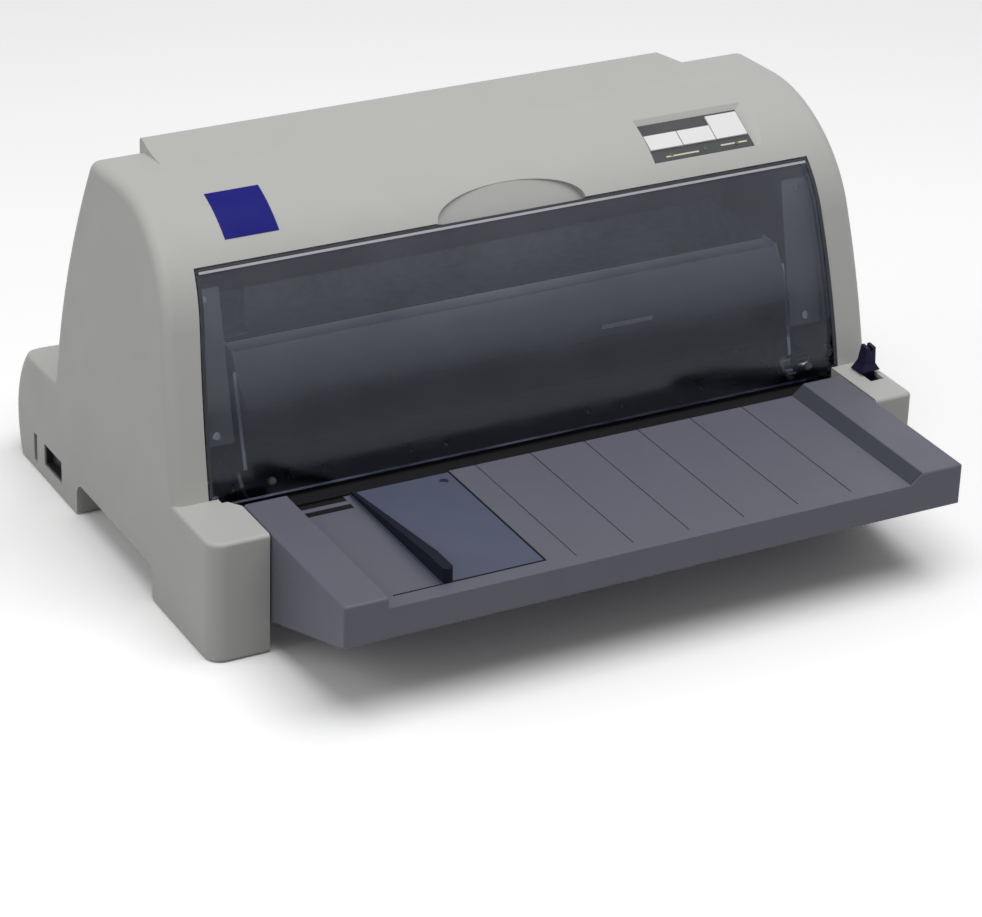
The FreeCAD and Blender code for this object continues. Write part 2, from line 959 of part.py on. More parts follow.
def scoop_pan():
    """The scoop's floor, a sloping plate inside the hood above the front cover."""
    top = crown_radius + overrun
    oval = scoop_ellipse(scoop_half + scoop_wall, scoop_length + scoop_wall,
                         crown_radius - 4 * scoop_depth, top)
    pan = tilted(oval.common(scoop_wedge(scoop_wall, top)), scoop_angle)
    above = tilted(block(-half_width, half_width, 0, crown_radius, 0, top), window_top_angle)
    return pan.common(hood_solid(press_gap)).common(above)


def badge_angles():
    return badge_top_angle - math.degrees(badge_size / crown_radius), badge_top_angle


def badge_pocket():
    low, high = badge_angles()
    spread = math.degrees(press_gap / crown_radius)
    return crown_band(badge_left_x - press_gap, badge_left_x + badge_size + press_gap,
                      low - spread, high + spread,
                      crown_radius - badge_thick + badge_proud, crown_radius + overrun)


def port_list():
    return ((inlet_x, inlet_width, inlet_height), (parallel_x, parallel_width, parallel_height),
            (usb_x, usb_width, usb_height))


def port_pans():
    """Sunken flats in the back wall for the three sockets."""
    room = base_solid(press_gap)
    pans = []
    for x, width, height in port_list():
        reach_x = width / 2 + port_margin + wall
        reach_z = height / 2 + port_margin + wall
        pan = block(x - reach_x, x + reach_x, port_floor_y - wall, back_y, port_z - reach_z,
                    port_z + reach_z)
        pans.append(pan.common(room))
    return pans


def port_cutters():
    cutters = []
    for x, width, height in port_list():
        cutters.append(block(x - width / 2 - port_margin, x + width / 2 + port_margin,
                             port_floor_y, back_y + overrun,
                             port_z - height / 2 - port_margin, port_z + height / 2 + port_margin))
        cutters.append(block(x - width / 2 - press_gap, x + width / 2 + press_gap,
                             port_floor_y - 2 * wall, back_y,
                             port_z - height / 2 - press_gap, port_z + height / 2 + press_gap))
    return cutters


def screw_spots():
    return [(side * screw_x, y) for side in (-1, 1) for y in (screw_front_y, screw_back_y)]


def make_upper_housing(shell):
    room = hood_solid(press_gap).fuse(base_solid(press_gap))
    above = block(-half_width, half_width, front_y, back_y + overrun, seam_z, 2 * crown_top_z)
    bosses = [rod_z(x, y, boss_split_z, back_box_top_z, boss_radius).common(room)
              for x, y in screw_spots()]
    walls = joined([shell.common(above), lip_solid(), scoop_pan(), panel_pan()] + jambs()
                   + port_pans() + bosses)
    cutters = [window_cutter(), scoop_cutter(), panel_cutter(), badge_pocket()]
    cutters += back_opening() + panel_holes() + port_cutters()
    grip = grip_prism(wall + press_gap, grip_depth)
    cutters += [grip, mirrored(grip)]
    cutters.append(block(lever_x - lever_slot_half, lever_x + lever_slot_half, lever_slot_front_y,
                         lever_slot_back_y, tower_top_z - 2 * wall, tower_top_z + overrun))
    cutters.append(block(-half_width - overrun, -half_width + 2 * wall, switch_front_y,
                         switch_back_y, switch_low_z, switch_high_z))
    cutters.append(block(-half_width - overrun, -half_width + 2 * wall, side_slit_y,
                         side_slit_y + side_slit_width, seam_z + press_gap, side_slit_top_z))
    cutters.append(rod_x(half_width - 2 * wall, half_width + overrun, platen_y, platen_z,
                         knob_hole_radius))
    for x, y in screw_spots():
        cutters.append(rod_z(x, y, 0, foot_height + screw_length + overrun,
                             screw_radius + press_gap))
    housing = less(walls, cutters)
    return joined([housing] + panel_posts())


def make_lower_case(shell):
    below = block(-half_width - overrun, half_width + overrun, front_y, back_y + overrun, 0, seam_z)
    pan = shell.common(below)
    within = block(-half_width, half_width, front_y, back_y, foot_height, machine_width)
    grip = grip_prism(wall, grip_depth + wall).common(within)
    bosses = [rod_z(x, y, foot_height, boss_split_z - press_gap, boss_radius)
              for x, y in screw_spots()]
    posts = []
    for x, y in board_posts():
        posts.append(rod_z(x, y, case_floor_z - press_gap, board_low_z, standoff_radius))
    pan = joined([pan, grip, mirrored(grip)] + bosses + posts)
    hollow = grip_prism(0, grip_depth)
    cutters = [hollow, mirrored(hollow)]
    for x, y in screw_spots():
        cutters.append(rod_z(x, y, 0, boss_split_z + overrun, screw_radius + run_gap))
        cutters.append(rod_z(x, y, 0, foot_height + screw_recess + screw_head_height,
                             screw_head_radius + run_gap))
    for x, y in foot_spots():
        cutters.append(rod_z(x, y, 0, foot_height + foot_sink, foot_radius + press_gap))
    return less(pan, cutters)


def foot_spots():
    reach = half_width - foot_inset_x
    return [(side * reach, y) for side in (-1, 1) for y in (foot_front_y, foot_back_y)]


def board_posts():
    spots = []
    for left, width in ((board_middle_x, main_board_width), (supply_left_x, supply_width)):
        for x in (left + board_inset, left + width - board_inset):
            for y in (board_front_y + board_inset, board_front_y + board_depth - board_inset):
                spots.append((x, y))
    return spots


def make_feet():
    feet = []
    for x, y in foot_spots():
        foot = rod_z(x, y, 0, foot_height + foot_sink, foot_radius)
        feet.append(foot.makeChamfer(foot_sink / 2, [e for e in foot.Edges
                                                     if e.BoundBox.ZMax < press_gap]))
    return feet


def make_screws():
    screws = []
    for x, y in screw_spots():
        head_z = foot_height + screw_recess
        head = rod_z(x, y, head_z, head_z + screw_head_height, screw_head_radius)
        drive = rod_z(x, y, head_z - overrun, head_z + screw_head_height / 2, screw_radius / 2)
        shank = rod_z(x, y, head_z, head_z + screw_length, screw_radius)
        screws.append(head.fuse(shank).cut(drive))
    return screws


# Covers and what is on the housing

def make_front_cover():
    """Smoked cover: a skin that follows the hood, two side flanges and two hinge ears."""
    skin = hood_solid(0).cut(hood_solid(window_thick))
    half = window_half
    gap_turn = math.degrees(window_gap / crown_radius)
    upper = polar(crown_y, crown_z, crown_radius + overrun, 180 - window_top_angle + gap_turn)
    inner = polar(crown_y, crown_z, crown_radius - 2 * window_side_depth,
                  180 - window_top_angle + gap_turn)
    out_y = hood_foot_y - overrun
    wide_z = tower_top_z + window_gap
    region = [(upper.y, upper.z), (inner.y, inner.z), (inner.y, wide_z),
              (out_y, wide_z), (out_y, upper.z)]
    wide = prism_x(region, -half, half).common(draft_prism(window_inset))
    tongue = block(-tongue_half, tongue_half, out_y, inner.y, window_low_z, wide_z + press_gap)
    flanges = hood_solid(0).cut(hood_solid(0).translated(Vector(0, window_side_depth, 0)))
    flanges = flanges.common(wide).cut(draft_prism(window_inset + window_thick))
    pieces = [skin.common(wide), skin.common(tongue), flanges]
    for x0, x1 in ((-half, -half + window_thick), (half - window_thick, half)):
        ear = rod_x(x0, x1, cover_pivot_y, cover_pivot_z, cover_ear_radius)
        pieces.append(ear.common(draft_prism(window_inset)))
    bow = scoop_ellipse(scoop_half, scoop_bow, crown_radius - 2 * wall, crown_radius + overrun)
    cover = joined(pieces).cut(tilted(bow, scoop_angle))
    return cover.cut(rod_x(-half - overrun, half + overrun, cover_pivot_y, cover_pivot_z,
                           cover_pin_radius + run_gap))


def back_cover_profile():
    outer = back_arc()
    circle = outer.Curve
    def spot(radius, z):
        return at(circle.Center.y + math.sqrt(radius ** 2 - (z - circle.Center.z) ** 2), z)
    inner_radius = circle.Radius - back_cover_thick
    low = back_cover_low_z
    high = back_pivot_z
    middle = (low + high) / 2
    return face_of([arc(spot(circle.Radius, low), spot(circle.Radius, middle),
                        spot(circle.Radius, high)),
                    line(spot(circle.Radius, high), spot(inner_radius, high)),
                    arc(spot(inner_radius, high), spot(inner_radius, middle),
                        spot(inner_radius, low)),
                    line(spot(inner_radius, low), spot(circle.Radius, low))])


def make_rear_cover():
    """Rear cover: a curved panel hung from a rolled upper edge."""
    face = back_cover_profile()
    face.translate(Vector(back_cover_left_x, 0, 0))
    panel = face.extrude(Vector(back_cover_right_x - back_cover_left_x, 0, 0))
    roll = rod_x(back_cover_left_x, back_cover_right_x, back_pivot_y, back_pivot_z,
                 back_knuckle_radius)
    hollow = rod_x(back_cover_left_x + back_cheek, back_cover_right_x - back_cheek, back_pivot_y,
                   back_pivot_z, back_knuckle_radius - back_cover_thick)
    skin_y = back_cover_skin_y(back_pivot_z)
    web = block(back_cover_left_x, back_cover_right_x, back_pivot_y, skin_y,
                back_pivot_z - back_knuckle_radius, back_pivot_z - back_knuckle_radius
                + back_cover_thick)
    cover = less(joined([panel, roll, web]), [hollow])
    pin_hole = rod_x(back_cover_left_x - overrun, back_cover_right_x + overrun, back_pivot_y,
                     back_pivot_z, back_pin_radius + run_gap)
    return cover.cut(pin_hole)


def back_cover_skin_y(z):
    circle = back_arc().Curve
    radius = circle.Radius - back_cover_thick / 2
    return circle.Center.y + math.sqrt(radius ** 2 - (z - circle.Center.z) ** 2)


def make_hinge_pins(grown):
    """Pins of the front cover, the rear cover and the release lever."""
    pins = []
    near = window_half - window_thick
    far = window_half + window_gap + jamb_thick
    for x0, x1 in ((near, far), (-far, -near)):
        pins.append(rod_x(x0, x1, cover_pivot_y, cover_pivot_z,
                          cover_pin_radius + grown))
    for x0, x1 in ((back_cover_left_x - move_gap - back_cheek, back_cover_left_x + back_cheek),
                   (back_cover_right_x - back_cheek, back_cover_right_x + move_gap + back_cheek)):
        pins.append(rod_x(x0, x1, back_pivot_y, back_pivot_z, back_pin_radius + grown))
    pins.append(rod_x(tray_right_x + wall, half_width - wall, lever_pivot_y, lever_pivot_z,
                      lever_pin_radius))
    return pins


def pin_cheeks():
    """Lugs inside the hood that hold the rear cover's pins."""
    room = hood_solid(wall - press_gap)
    lugs = []
    left = back_cover_left_x - move_gap
    right = back_cover_right_x + move_gap
    for x0, x1 in ((left - back_cheek, left), (right, right + back_cheek)):
        lug = block(x0, x1, back_pivot_y - 2 * back_knuckle_radius, back_y,
                    back_pivot_z - 2 * back_knuckle_radius, crown_top_z)
        lugs.append(lug.common(room))
    return lugs


def make_overlay():
    floor = panel_plane()
    left = panel_left_x + overlay_edge
    low = -panel_half + 2 * overlay_edge
    high = panel_half - panel_slope - overlay_edge
    plate = block(left, left + overlay_width() + overlay_edge, low, high, floor,
                  floor + overlay_thick)
    holes = []
    for x, y, width, length in button_spots():
        holes.append(block(x - button_gap, x + width + button_gap, y - button_gap,
                           y + length + button_gap, floor - overrun, floor + overrun))
    for x, y in lens_spots():
        holes.append(rod_z(x, y, floor - overrun, floor + overrun, lens_radius + press_gap))
    return tilted(less(plate, holes), panel_angle)


def make_lenses():
    floor = panel_plane()
    return [tilted(rod_z(x, y, floor - panel_floor, floor + overlay_thick + lens_proud,
                         lens_radius), panel_angle) for x, y in lens_spots()]


def make_button(spot):
    x, y, width, length = spot
    floor = panel_plane()
    low = floor + button_travel + press_gap
    cap = block(x, x + width, y, y + length, low, low + button_thick)
    top_edges = [e for e in cap.Edges if e.BoundBox.ZMin > low + button_thick - press_gap]
    cap = cap.makeFillet(button_thick / 3, top_edges)
    key_top = floor - board_drop + key_height
    stem = rod_z(x + width / 2, y + length / 2, key_top + button_travel + press_gap, low + press_gap,
                 button_stem_radius)
    return tilted(cap.fuse(stem), panel_angle)


def make_control_board():
    """Small board under the panel with a key switch under each button."""
    top = panel_plane() - board_drop
    board = block(panel_left_x, panel_right_x - panel_slope, -panel_half, panel_half - panel_slope,
                  top - board_thick, top)
    keys = []
    for x, y, width, length in button_spots():
        cx = x + width / 2
        cy = y + length / 2
        keys.append(block(cx - key_half, cx + key_half, cy - key_half, cy + key_half,
                          top - press_gap, top + key_height))
    return tilted(joined([board] + keys), panel_angle)


def make_badge():
    low, high = badge_angles()
    return crown_band(badge_left_x, badge_left_x + badge_size, low, high,
                      crown_radius - badge_thick + badge_proud + press_gap,
                      crown_radius + badge_proud)


# Paper tray and edge guide

def make_tray():
    left = tray_left_x + tray_gap
    right = tray_right_x - tray_gap
    side = [(front_y, tray_lip_z), (front_y, tray_top_z), (tray_back_y, tray_top_z),
            (tray_back_y, tray_skirt_z), (tray_skirt_y, tray_skirt_z)]
    body = prism_x(side, left, right)
    edges = [e for e in body.Edges if e.BoundBox.YMax < front_y + press_gap
             and (width_of(e) > half_width or rise_of(e) > tray_edge_radius)]
    edges += [e for e in body.Edges if e.BoundBox.ZMin > tray_top_z - press_gap
              and width_of(e) < press_gap]
    body = body.makeFillet(tray_edge_radius, edges)
    under = bed_z - guide_pocket_depth - tray_wall
    hollow = prism_x([(front_y + tray_wall, -overrun), (front_y + tray_wall, under),
                      (tray_back_y - tray_wall, under), (tray_back_y - tray_wall, -overrun)],
                     left + tray_wall, right - tray_wall)
    body = body.cut(hollow)
    ribs = []
    for x in (-tray_rib_share * half_width, tray_rib_share * half_width):
        rib = prism_x(side, x - tray_wall / 2, x + tray_wall / 2)
        cap = block(x - tray_wall, x + tray_wall, front_y, tray_back_y, under + press_gap,
                    tray_top_z + overrun)
        ribs.append(rib.cut(cap))
    hooks = []
    hook_z = slot_low_z - 2 * tray_hook_height
    for x in (-tray_hook_share * half_width, tray_hook_share * half_width):
        hooks.append(block(x - tray_hook_width / 2, x + tray_hook_width / 2,
                           tray_back_y - tray_wall, hood_foot_y, hook_z,
                           hook_z + tray_hook_height))
    body = joined([body] + ribs + hooks)
    top = tray_top_z + overrun
    rise = (top - bed_z) * bed_right_slope / (tray_top_z - bed_z)
    bed = prism_y([(bed_left_x, bed_z), (bed_right_x, bed_z), (bed_right_x + rise, top),
                   (bed_left_x, top)], front_y - overrun, tray_back_y + overrun)
    pocket_z = bed_z - guide_pocket_depth
    line_x = guide_right_x + guide_line
    line_y = guide_front_y - guide_line
    pocket = block(guide_pocket_left_x, line_x, line_y, tray_back_y + overrun, pocket_z, top)
    front_line = block(guide_pocket_left_x + guide_line_inset, line_x, line_y, guide_front_y,
                       pocket_z - guide_line_depth, top)
    side_line = block(guide_right_x, line_x, line_y, tray_back_y + overrun,
                      pocket_z - guide_line_depth, top)
    cutters = [bed, pocket, front_line, side_line]
    first = guide_right_x + groove_first_inset
    pitch = (bed_right_x - groove_last_inset - first) / (groove_count - 1)
    for n in range(groove_count):
        x = first + n * pitch
        cutters.append(block(x - groove_width / 2, x + groove_width / 2,
                             front_y + groove_front_inset, tray_back_y + overrun,
                             bed_z - groove_depth, top))
    slot_left = guide_pocket_left_x + guide_slot_inset
    for y in (tray_back_y, tray_back_y - guide_slot_width - guide_slot_gap):
        open_y = overrun if y == tray_back_y else 0
        cutters.append(block(slot_left, slot_left + guide_slot_length, y - guide_slot_width,
                             y + open_y, under - overrun, top))
    return less(body, cutters)


def make_guide_plate():
    plate = block(guide_left_x, guide_right_x, guide_front_y, guide_back_y,
                  bed_z - guide_pocket_depth + press_gap, bed_z)
    hole = rod_z(guide_right_x - guide_hole_side, guide_back_y - guide_hole_back,
                 bed_z - overrun, bed_z + overrun, guide_hole_radius)
    return plate.cut(hole)


def make_guide_fence():
    """A thin low wall that rises and widens toward a round head at the front."""
    left = guide_left_x
    right = left + fence_head_width
    radius = fence_head_width / 2
    head_y = fence_front_y + fence_head_length
    plan = prism_z([(left, guide_back_y), (left + fence_thick, guide_back_y), (right, head_y),
                    (right, fence_front_y), (left, fence_front_y)], bed_z, bed_z + fence_height)
    nose = rod_z(left + radius, fence_front_y, bed_z, bed_z + fence_height, radius)
    side = prism_x([(guide_back_y, bed_z - overrun), (guide_back_y, bed_z + fence_low),
                    (head_y, bed_z + fence_height), (fence_front_y - radius, bed_z + fence_height),
                    (fence_front_y - radius, bed_z - overrun)], left - overrun, right + overrun)
    return joined([plan, nose]).common(side)


# Mechanism: frames and fixed pieces

def bush_list():
    """Shaft places in the side frames: y, z and shaft radius."""
    return ((platen_y, platen_z, platen_shaft_radius),
            (feed_roller_y, paper_z - feed_roller_radius, feed_shaft_radius),
            (tractor_y, tractor_z, tractor_journal_radius))


def frame_outline():
    return [(frame_front_y, case_floor_z), (frame_back_y, case_floor_z),
            (frame_back_y, frame_back_z), (frame_top_back_y, frame_top_z),
            (jamb_back_y, frame_top_z), (frame_nose_y, frame_nose_z),
            (frame_guard_y, frame_guard_z), (frame_notch_y, frame_notch_high_z),
            (frame_notch_y, frame_notch_low_z), (frame_ramp_y, frame_ramp_z),
            (frame_front_y, frame_step_z)]


def side_frame(right):
    x0 = frame_x
    x1 = frame_x + frame_thick
    plate = prism_x(frame_outline(), x0, x1)
    flange = block(x0 - frame_flange, x1, frame_front_y, frame_back_y, case_floor_z,
                   case_floor_z + frame_thick)
    holes = []
    for y, z, radius in bush_list():
        holes.append(rod_x(x0 - overrun, x1 + overrun, y, z, radius + bush_wall + press_gap))
    pieces = [plate, flange]
    if right:
        for y, z, teeth in idler_list():
            pieces.append(rod_x(x0, gear_far_x + gear_stand_off / 2, y, z, stud_radius))
    frame = less(joined(pieces), holes)
    return frame if right else mirrored(frame)


def make_bushes():
    bushes = []
    for y, z, radius in bush_list():
        sleeve = rod_x(frame_x - sheet, frame_x + frame_thick, y, z, radius + bush_wall)
        rim = rod_x(frame_x - sheet, frame_x - press_gap, y, z, radius + bush_wall + bush_flange)
        bore = rod_x(frame_x - overrun, frame_x + overrun, y, z, radius + run_gap)
        bush = sleeve.fuse(rim).cut(bore)
        bushes += [bush, mirrored(bush)]
    return bushes


def feed_roller_places():
    return [share * frame_x for share in feed_roller_shares]


def make_front_rail():
    strip = block(-frame_x, frame_x, rail_front_y, rail_back_y, rail_top_z - sheet, rail_top_z)
    stiffener = block(-frame_x, frame_x, rail_front_y, rail_front_y + sheet,
                      rail_top_z - carriage_plate, rail_top_z - sheet)
    return strip.fuse(stiffener).removeSplitter()


def make_rear_beam():
    top = beam_low_z + sheet
    strip = block(-frame_x, frame_x, beam_front_y, beam_back_y, beam_low_z, top)
    fold = block(-frame_x, frame_x, beam_back_y - sheet, beam_back_y, beam_low_z,
                 top + carriage_plate)
    pin = rod_z(pulley_x, belt_y, belt_z - belt_height, beam_low_z, stud_radius)
    hole = rod_z(-pulley_x, belt_y, beam_low_z - overrun, top + overrun, motor_shaft_radius * 2)
    return joined([strip, fold, pin]).cut(hole)


def make_guide_shaft():
    return rod_x(-frame_x, frame_x, guide_y, guide_z, guide_radius)


def make_entry_plate():
    top = bed_z - entry_drop
    low = top - entry_thick
    front = block(tray_left_x + entry_side_gap, tray_right_x - entry_side_gap, entry_front_y,
                  frame_front_y, low, top)
    back = block(-frame_x, frame_x, frame_front_y, entry_back_y, low, top)
    holes = []
    for x in feed_roller_places():
        reach = feed_roller_width / 2 + wall
        holes.append(block(x - reach, x + reach, feed_roller_y - entry_window,
                           feed_roller_y + entry_window, low - overrun, top + overrun))
    for x0, x1 in ((-frame_x - wall, -frame_x + wall), (frame_x - wall, frame_x + wall)):
        holes.append(block(x0, x1, feed_roller_y - entry_window, feed_roller_y + entry_window,
                           low - overrun, top + overrun))
    return less(joined([front, back]), holes)


def make_inner_guard():
    """Curved clear guard with a shelf at its top and a cheek at each end."""
    ledge = at(guard_ledge_y, guard_ledge_z)
    belly = at(guard_belly_y, guard_belly_z)
    low = at(guard_low_y, guard_low_z)
    circle = arc(ledge, belly, low).Curve
    inner = circle.Radius - guard_thick
    def pulled(point):
        toward = point - circle.Center
        toward.normalize()
        return circle.Center + toward * inner
    sheet_face = face_of([arc(ledge, belly, low), line(low, pulled(low)),
                          arc(pulled(low), pulled(belly), pulled(ledge)),
                          line(pulled(ledge), ledge)])
    sheet_face.translate(Vector(-frame_x, 0, 0))
    skin = sheet_face.extrude(Vector(2 * frame_x, 0, 0))
    shelf = block(-frame_x, frame_x, guard_ledge_y, guard_ledge_y + guard_shelf,
                  guard_ledge_z - guard_thick, guard_ledge_z)
    cheek_points = [(guard_ledge_y + guard_shelf, guard_ledge_z + guard_rim),
                    (guard_ledge_y - guard_rim, guard_ledge_z + guard_rim),
                    (guard_belly_y - guard_rim / 2, guard_belly_z + guard_rim),
                    (guard_low_y - guard_rim / 2, guard_low_z + guard_rim),
                    (guard_low_y, guard_low_z),
                    (guard_ledge_y + guard_shelf, guard_low_z + guard_shelf)]
    cheeks = []
    for x0 in (-frame_x, frame_x - guard_thick):
        cheeks.append(prism_x(cheek_points, x0, x0 + guard_thick))
    return joined([skin, shelf] + cheeks)


def make_back_guide():
    rise = back_guide_back_z - back_guide_front_z
    points = [(back_guide_front_y, back_guide_front_z), (back_guide_back_y, back_guide_back_z),
              (back_guide_back_y, back_guide_back_z - entry_thick * 1.2),
              (back_guide_front_y, back_guide_front_z - entry_thick * 1.2)]
    plate = prism_x(points, -frame_x, frame_x)
    lip = block(-frame_x, frame_x, back_guide_front_y, back_guide_front_y + entry_thick,
                back_guide_front_z - rise / 2, back_guide_front_z - entry_thick / 2)
    return plate.fuse(lip).removeSplitter()


def make_support_shaft():
    return rod_x(-frame_x, frame_x, support_y, tractor_z, support_radius)


def make_belt():
    reach = belt_inner_radius
    def loop(radius):
        middle = block(-pulley_x, pulley_x, belt_y - radius, belt_y + radius,
                       belt_z - belt_height / 2, belt_z + belt_height / 2)
        ends = [rod_z(side * pulley_x, belt_y, belt_z - belt_height / 2,
                      belt_z + belt_height / 2, radius) for side in (-1, 1)]
        return joined([middle] + ends)
    return loop(reach + belt_thick).cut(loop(reach))


def make_pulley(x):
    half = belt_height / 2
    drum = rod_z(x, belt_y, belt_z - half - move_gap, belt_z + half + move_gap, pulley_radius)
    low = rod_z(x, belt_y, belt_z - half - move_gap - pulley_flange, belt_z - half - move_gap,
                pulley_flange_radius)
    high = rod_z(x, belt_y, belt_z + half + move_gap, belt_z + half + move_gap + pulley_flange,
                 pulley_flange_radius)
    return joined([drum, low, high])


def make_motor_pulley():
    shaft = rod_z(-pulley_x, belt_y, belt_z - belt_height, beam_low_z + sheet
                  + carriage_motor_length / 2, motor_shaft_radius)
    return joined([make_pulley(-pulley_x), shaft])


def make_idler_pulley():
    bore = rod_z(pulley_x, belt_y, 0, machine_width, stud_radius + run_gap)
    return make_pulley(pulley_x).cut(bore)


def motor_body(size, length, bore):
    """A square stepper motor standing on its flange, with a bore for its shaft."""
    half = size / 2
    cut = size / 8
    corners = [(-half + cut, -half), (half - cut, -half), (half, -half + cut),
               (half, half - cut), (half - cut, half), (-half + cut, half),
               (-half, half - cut), (-half, -half + cut)]
    can = prism_z(corners, motor_flange, length)
    flange = block(-half, half, -half, half, 0, motor_flange)
    return joined([can, flange]).cut(rod_z(0, 0, -overrun, length / 2 + run_gap, bore))


def make_carriage_motor():
    motor = motor_body(carriage_motor_size, carriage_motor_length, motor_shaft_radius + run_gap)
    motor.translate(Vector(-pulley_x, belt_y, beam_low_z + sheet))
    return motor


def pinion_spot():
    distance = gear_module * (platen_teeth + pinion_teeth) / 2
    turn = math.radians(pinion_angle)
    return platen_y + distance * math.cos(turn), platen_z + distance * math.sin(turn)


def make_feed_motor():
    y, z = pinion_spot()
    motor = motor_body(feed_motor_size, feed_motor_length, motor_shaft_radius + run_gap)
    motor.rotate(Vector(0, 0, 0), Vector(0, 1, 0), 90)
    start = gear_far_x + feed_motor_stand
    motor.translate(Vector(start, y, z))
    reach = feed_motor_size / 2 - post_size / 2
    posts = []
    for side in (-1, 1):
        py = y + side * reach
        pz = z + reach
        posts.append(block(frame_x + frame_thick, start + motor_flange, py - post_size / 2,
                           py + post_size / 2, pz - post_size / 2, pz + post_size / 2))
    return joined([motor] + posts)


# Gears

def gear(teeth, phase, bore):
    """Involute spur gear on the X axis, with a tooth centred at the angle phase in the YZ plane."""
    pitch = gear_module * teeth / 2
    base = pitch * math.cos(math.radians(pressure_angle))
    outer = pitch + 0.9 * gear_module
    root = pitch - 1.25 * gear_module
    half_tooth = math.pi / (2 * teeth) - gear_backlash / (2 * pitch)
    def involute(radius):
        reach = math.acos(min(1, base / radius))
        return math.tan(reach) - reach
    start = max(base, root + gear_module / 5)
    radii = [start + (outer - start) * share for share in (0, 0.35, 0.7, 1)]
    offset = half_tooth + involute(pitch)
    points = []
    for n in range(teeth):
        centre = math.radians(phase) + 2 * math.pi * n / teeth
        flank = [(r, offset - involute(r)) for r in radii]
        low = flank[0][1]
        profile = [(root, -low)] + [(r, -a) for r, a in flank] + [(r, a) for r, a in flank[::-1]]
        profile.append((root, low))
        points += [(r * math.cos(centre + a), r * math.sin(centre + a)) for r, a in profile]
    disc = prism_x(points, gear_near_x, gear_far_x)
    web_depth = gear_width * gear_web_share
    rim = root - gear_module * 1.5
    hub = bore + pitch * gear_hub_share
    if rim > hub + gear_module:
        ring = rod_x(gear_far_x - web_depth, gear_far_x, 0, 0, rim)
        ring = ring.cut(rod_x(gear_far_x - web_depth, gear_far_x, 0, 0, hub))
        disc = disc.cut(ring)
    if bore:
        disc = disc.cut(rod_x(gear_near_x - overrun, gear_far_x + overrun, 0, 0, bore))
    return disc


def meeting_point(y0, z0, reach0, y1, z1, reach1, below):
    """The point at two given distances from two centres."""
    dy = y1 - y0
    dz = z1 - z0
    distance = math.hypot(dy, dz)
    along = (reach0 ** 2 - reach1 ** 2 + distance ** 2) / (2 * distance)
    aside = math.sqrt(max(0, reach0 ** 2 - along ** 2))
    sign = -1 if below else 1
    return (y0 + along * dy / distance - sign * aside * dz / distance,
            z0 + along * dz / distance + sign * aside * dy / distance)


def pitch_radius(teeth):
    return gear_module * teeth / 2


def front_idler_spot():
    return meeting_point(feed_roller_y, paper_z - feed_roller_radius,
                         pitch_radius(front_teeth + front_idler_teeth),
                         platen_y, platen_z, pitch_radius(platen_teeth + front_idler_teeth), True)


def tractor_idler_spot():
    return meeting_point(platen_y, platen_z, pitch_radius(platen_teeth + tractor_idler_teeth),
                         tractor_y, tractor_z, pitch_radius(tractor_teeth + tractor_idler_teeth),
                         True)


def idler_list():
    front = front_idler_spot()
    rear = tractor_idler_spot()
    return ((front[0], front[1], front_idler_teeth), (rear[0], rear[1], tractor_idler_teeth))


def meshed_phase(from_spot, from_teeth, from_phase, to_spot, to_teeth):
    """The phase that puts a gap of the second gear over a tooth of the first."""
    angle = math.degrees(math.atan2(to_spot[1] - from_spot[1], to_spot[0] - from_spot[0]))
    shift = ((angle - from_phase) * from_teeth / 360) % 1
    return angle + 180 + (shift + 0.5) * 360 / to_teeth


def placed_gear(teeth, phase, spot, bore):
    wheel = gear(teeth, phase, bore)
    wheel.translate(Vector(0, spot[0], spot[1]))
    return wheel


def gear_phases():
    platen = (platen_y, platen_z)
    front = (feed_roller_y, paper_z - feed_roller_radius)
    phases = {"platen": 0}
    phases["pinion"] = meshed_phase(platen, platen_teeth, 0, pinion_spot(), pinion_teeth)
    phases["front_idler"] = meshed_phase(platen, platen_teeth, 0, front_idler_spot(),
                                         front_idler_teeth)
    phases["front"] = meshed_phase(front_idler_spot(), front_idler_teeth, phases["front_idler"],
                                   front, front_teeth)
    phases["tractor_idler"] = meshed_phase(platen, platen_teeth, 0, tractor_idler_spot(),
                                           tractor_idler_teeth)
    phases["tractor"] = meshed_phase(tractor_idler_spot(), tractor_idler_teeth,
                                     phases["tractor_idler"], (tractor_y, tractor_z),
                                     tractor_teeth)
    return phases


# Turning pieces of the paper path

def make_platen_roller():
    roller = rod_x(-platen_half, platen_half, platen_y, platen_z, platen_radius)
    return roller.cut(rod_x(-frame_x, frame_x, platen_y, platen_z, platen_shaft_radius + press_gap))


def make_platen_shaft():
    return rod_x(-frame_x - frame_thick - gear_stand_off, half_width - knob_length + wall,
                 platen_y, platen_z, platen_shaft_radius)


def make_knob():
    far = half_width - press_gap
    near = half_width - knob_length
    core = rod_x(near, far, platen_y, platen_z, knob_radius)
    grooves = []
    for n in range(knob_ribs):
        spot = polar(platen_y, platen_z, knob_radius + knob_rib_depth / 2, 360 * n / knob_ribs)
        grooves.append(rod_x(near - overrun, far + overrun, spot.y, spot.z, knob_rib_depth * 1.5))
    dish = rod_x(far - wall, far + overrun, platen_y, platen_z, knob_radius * 0.6)
    socket = rod_x(near - overrun, near + wall + press_gap, platen_y, platen_z,
                   platen_shaft_radius + press_gap)
    return less(core, grooves + [dish, socket])


def make_feed_shaft(phases):
    z = paper_z - feed_roller_radius
    shaft = rod_x(-frame_x - frame_thick - gear_stand_off, gear_far_x, feed_roller_y, z,
                  feed_shaft_radius)
    wheel = placed_gear(front_teeth, phases["front"], (feed_roller_y, z), 0)
    return joined([shaft, wheel])


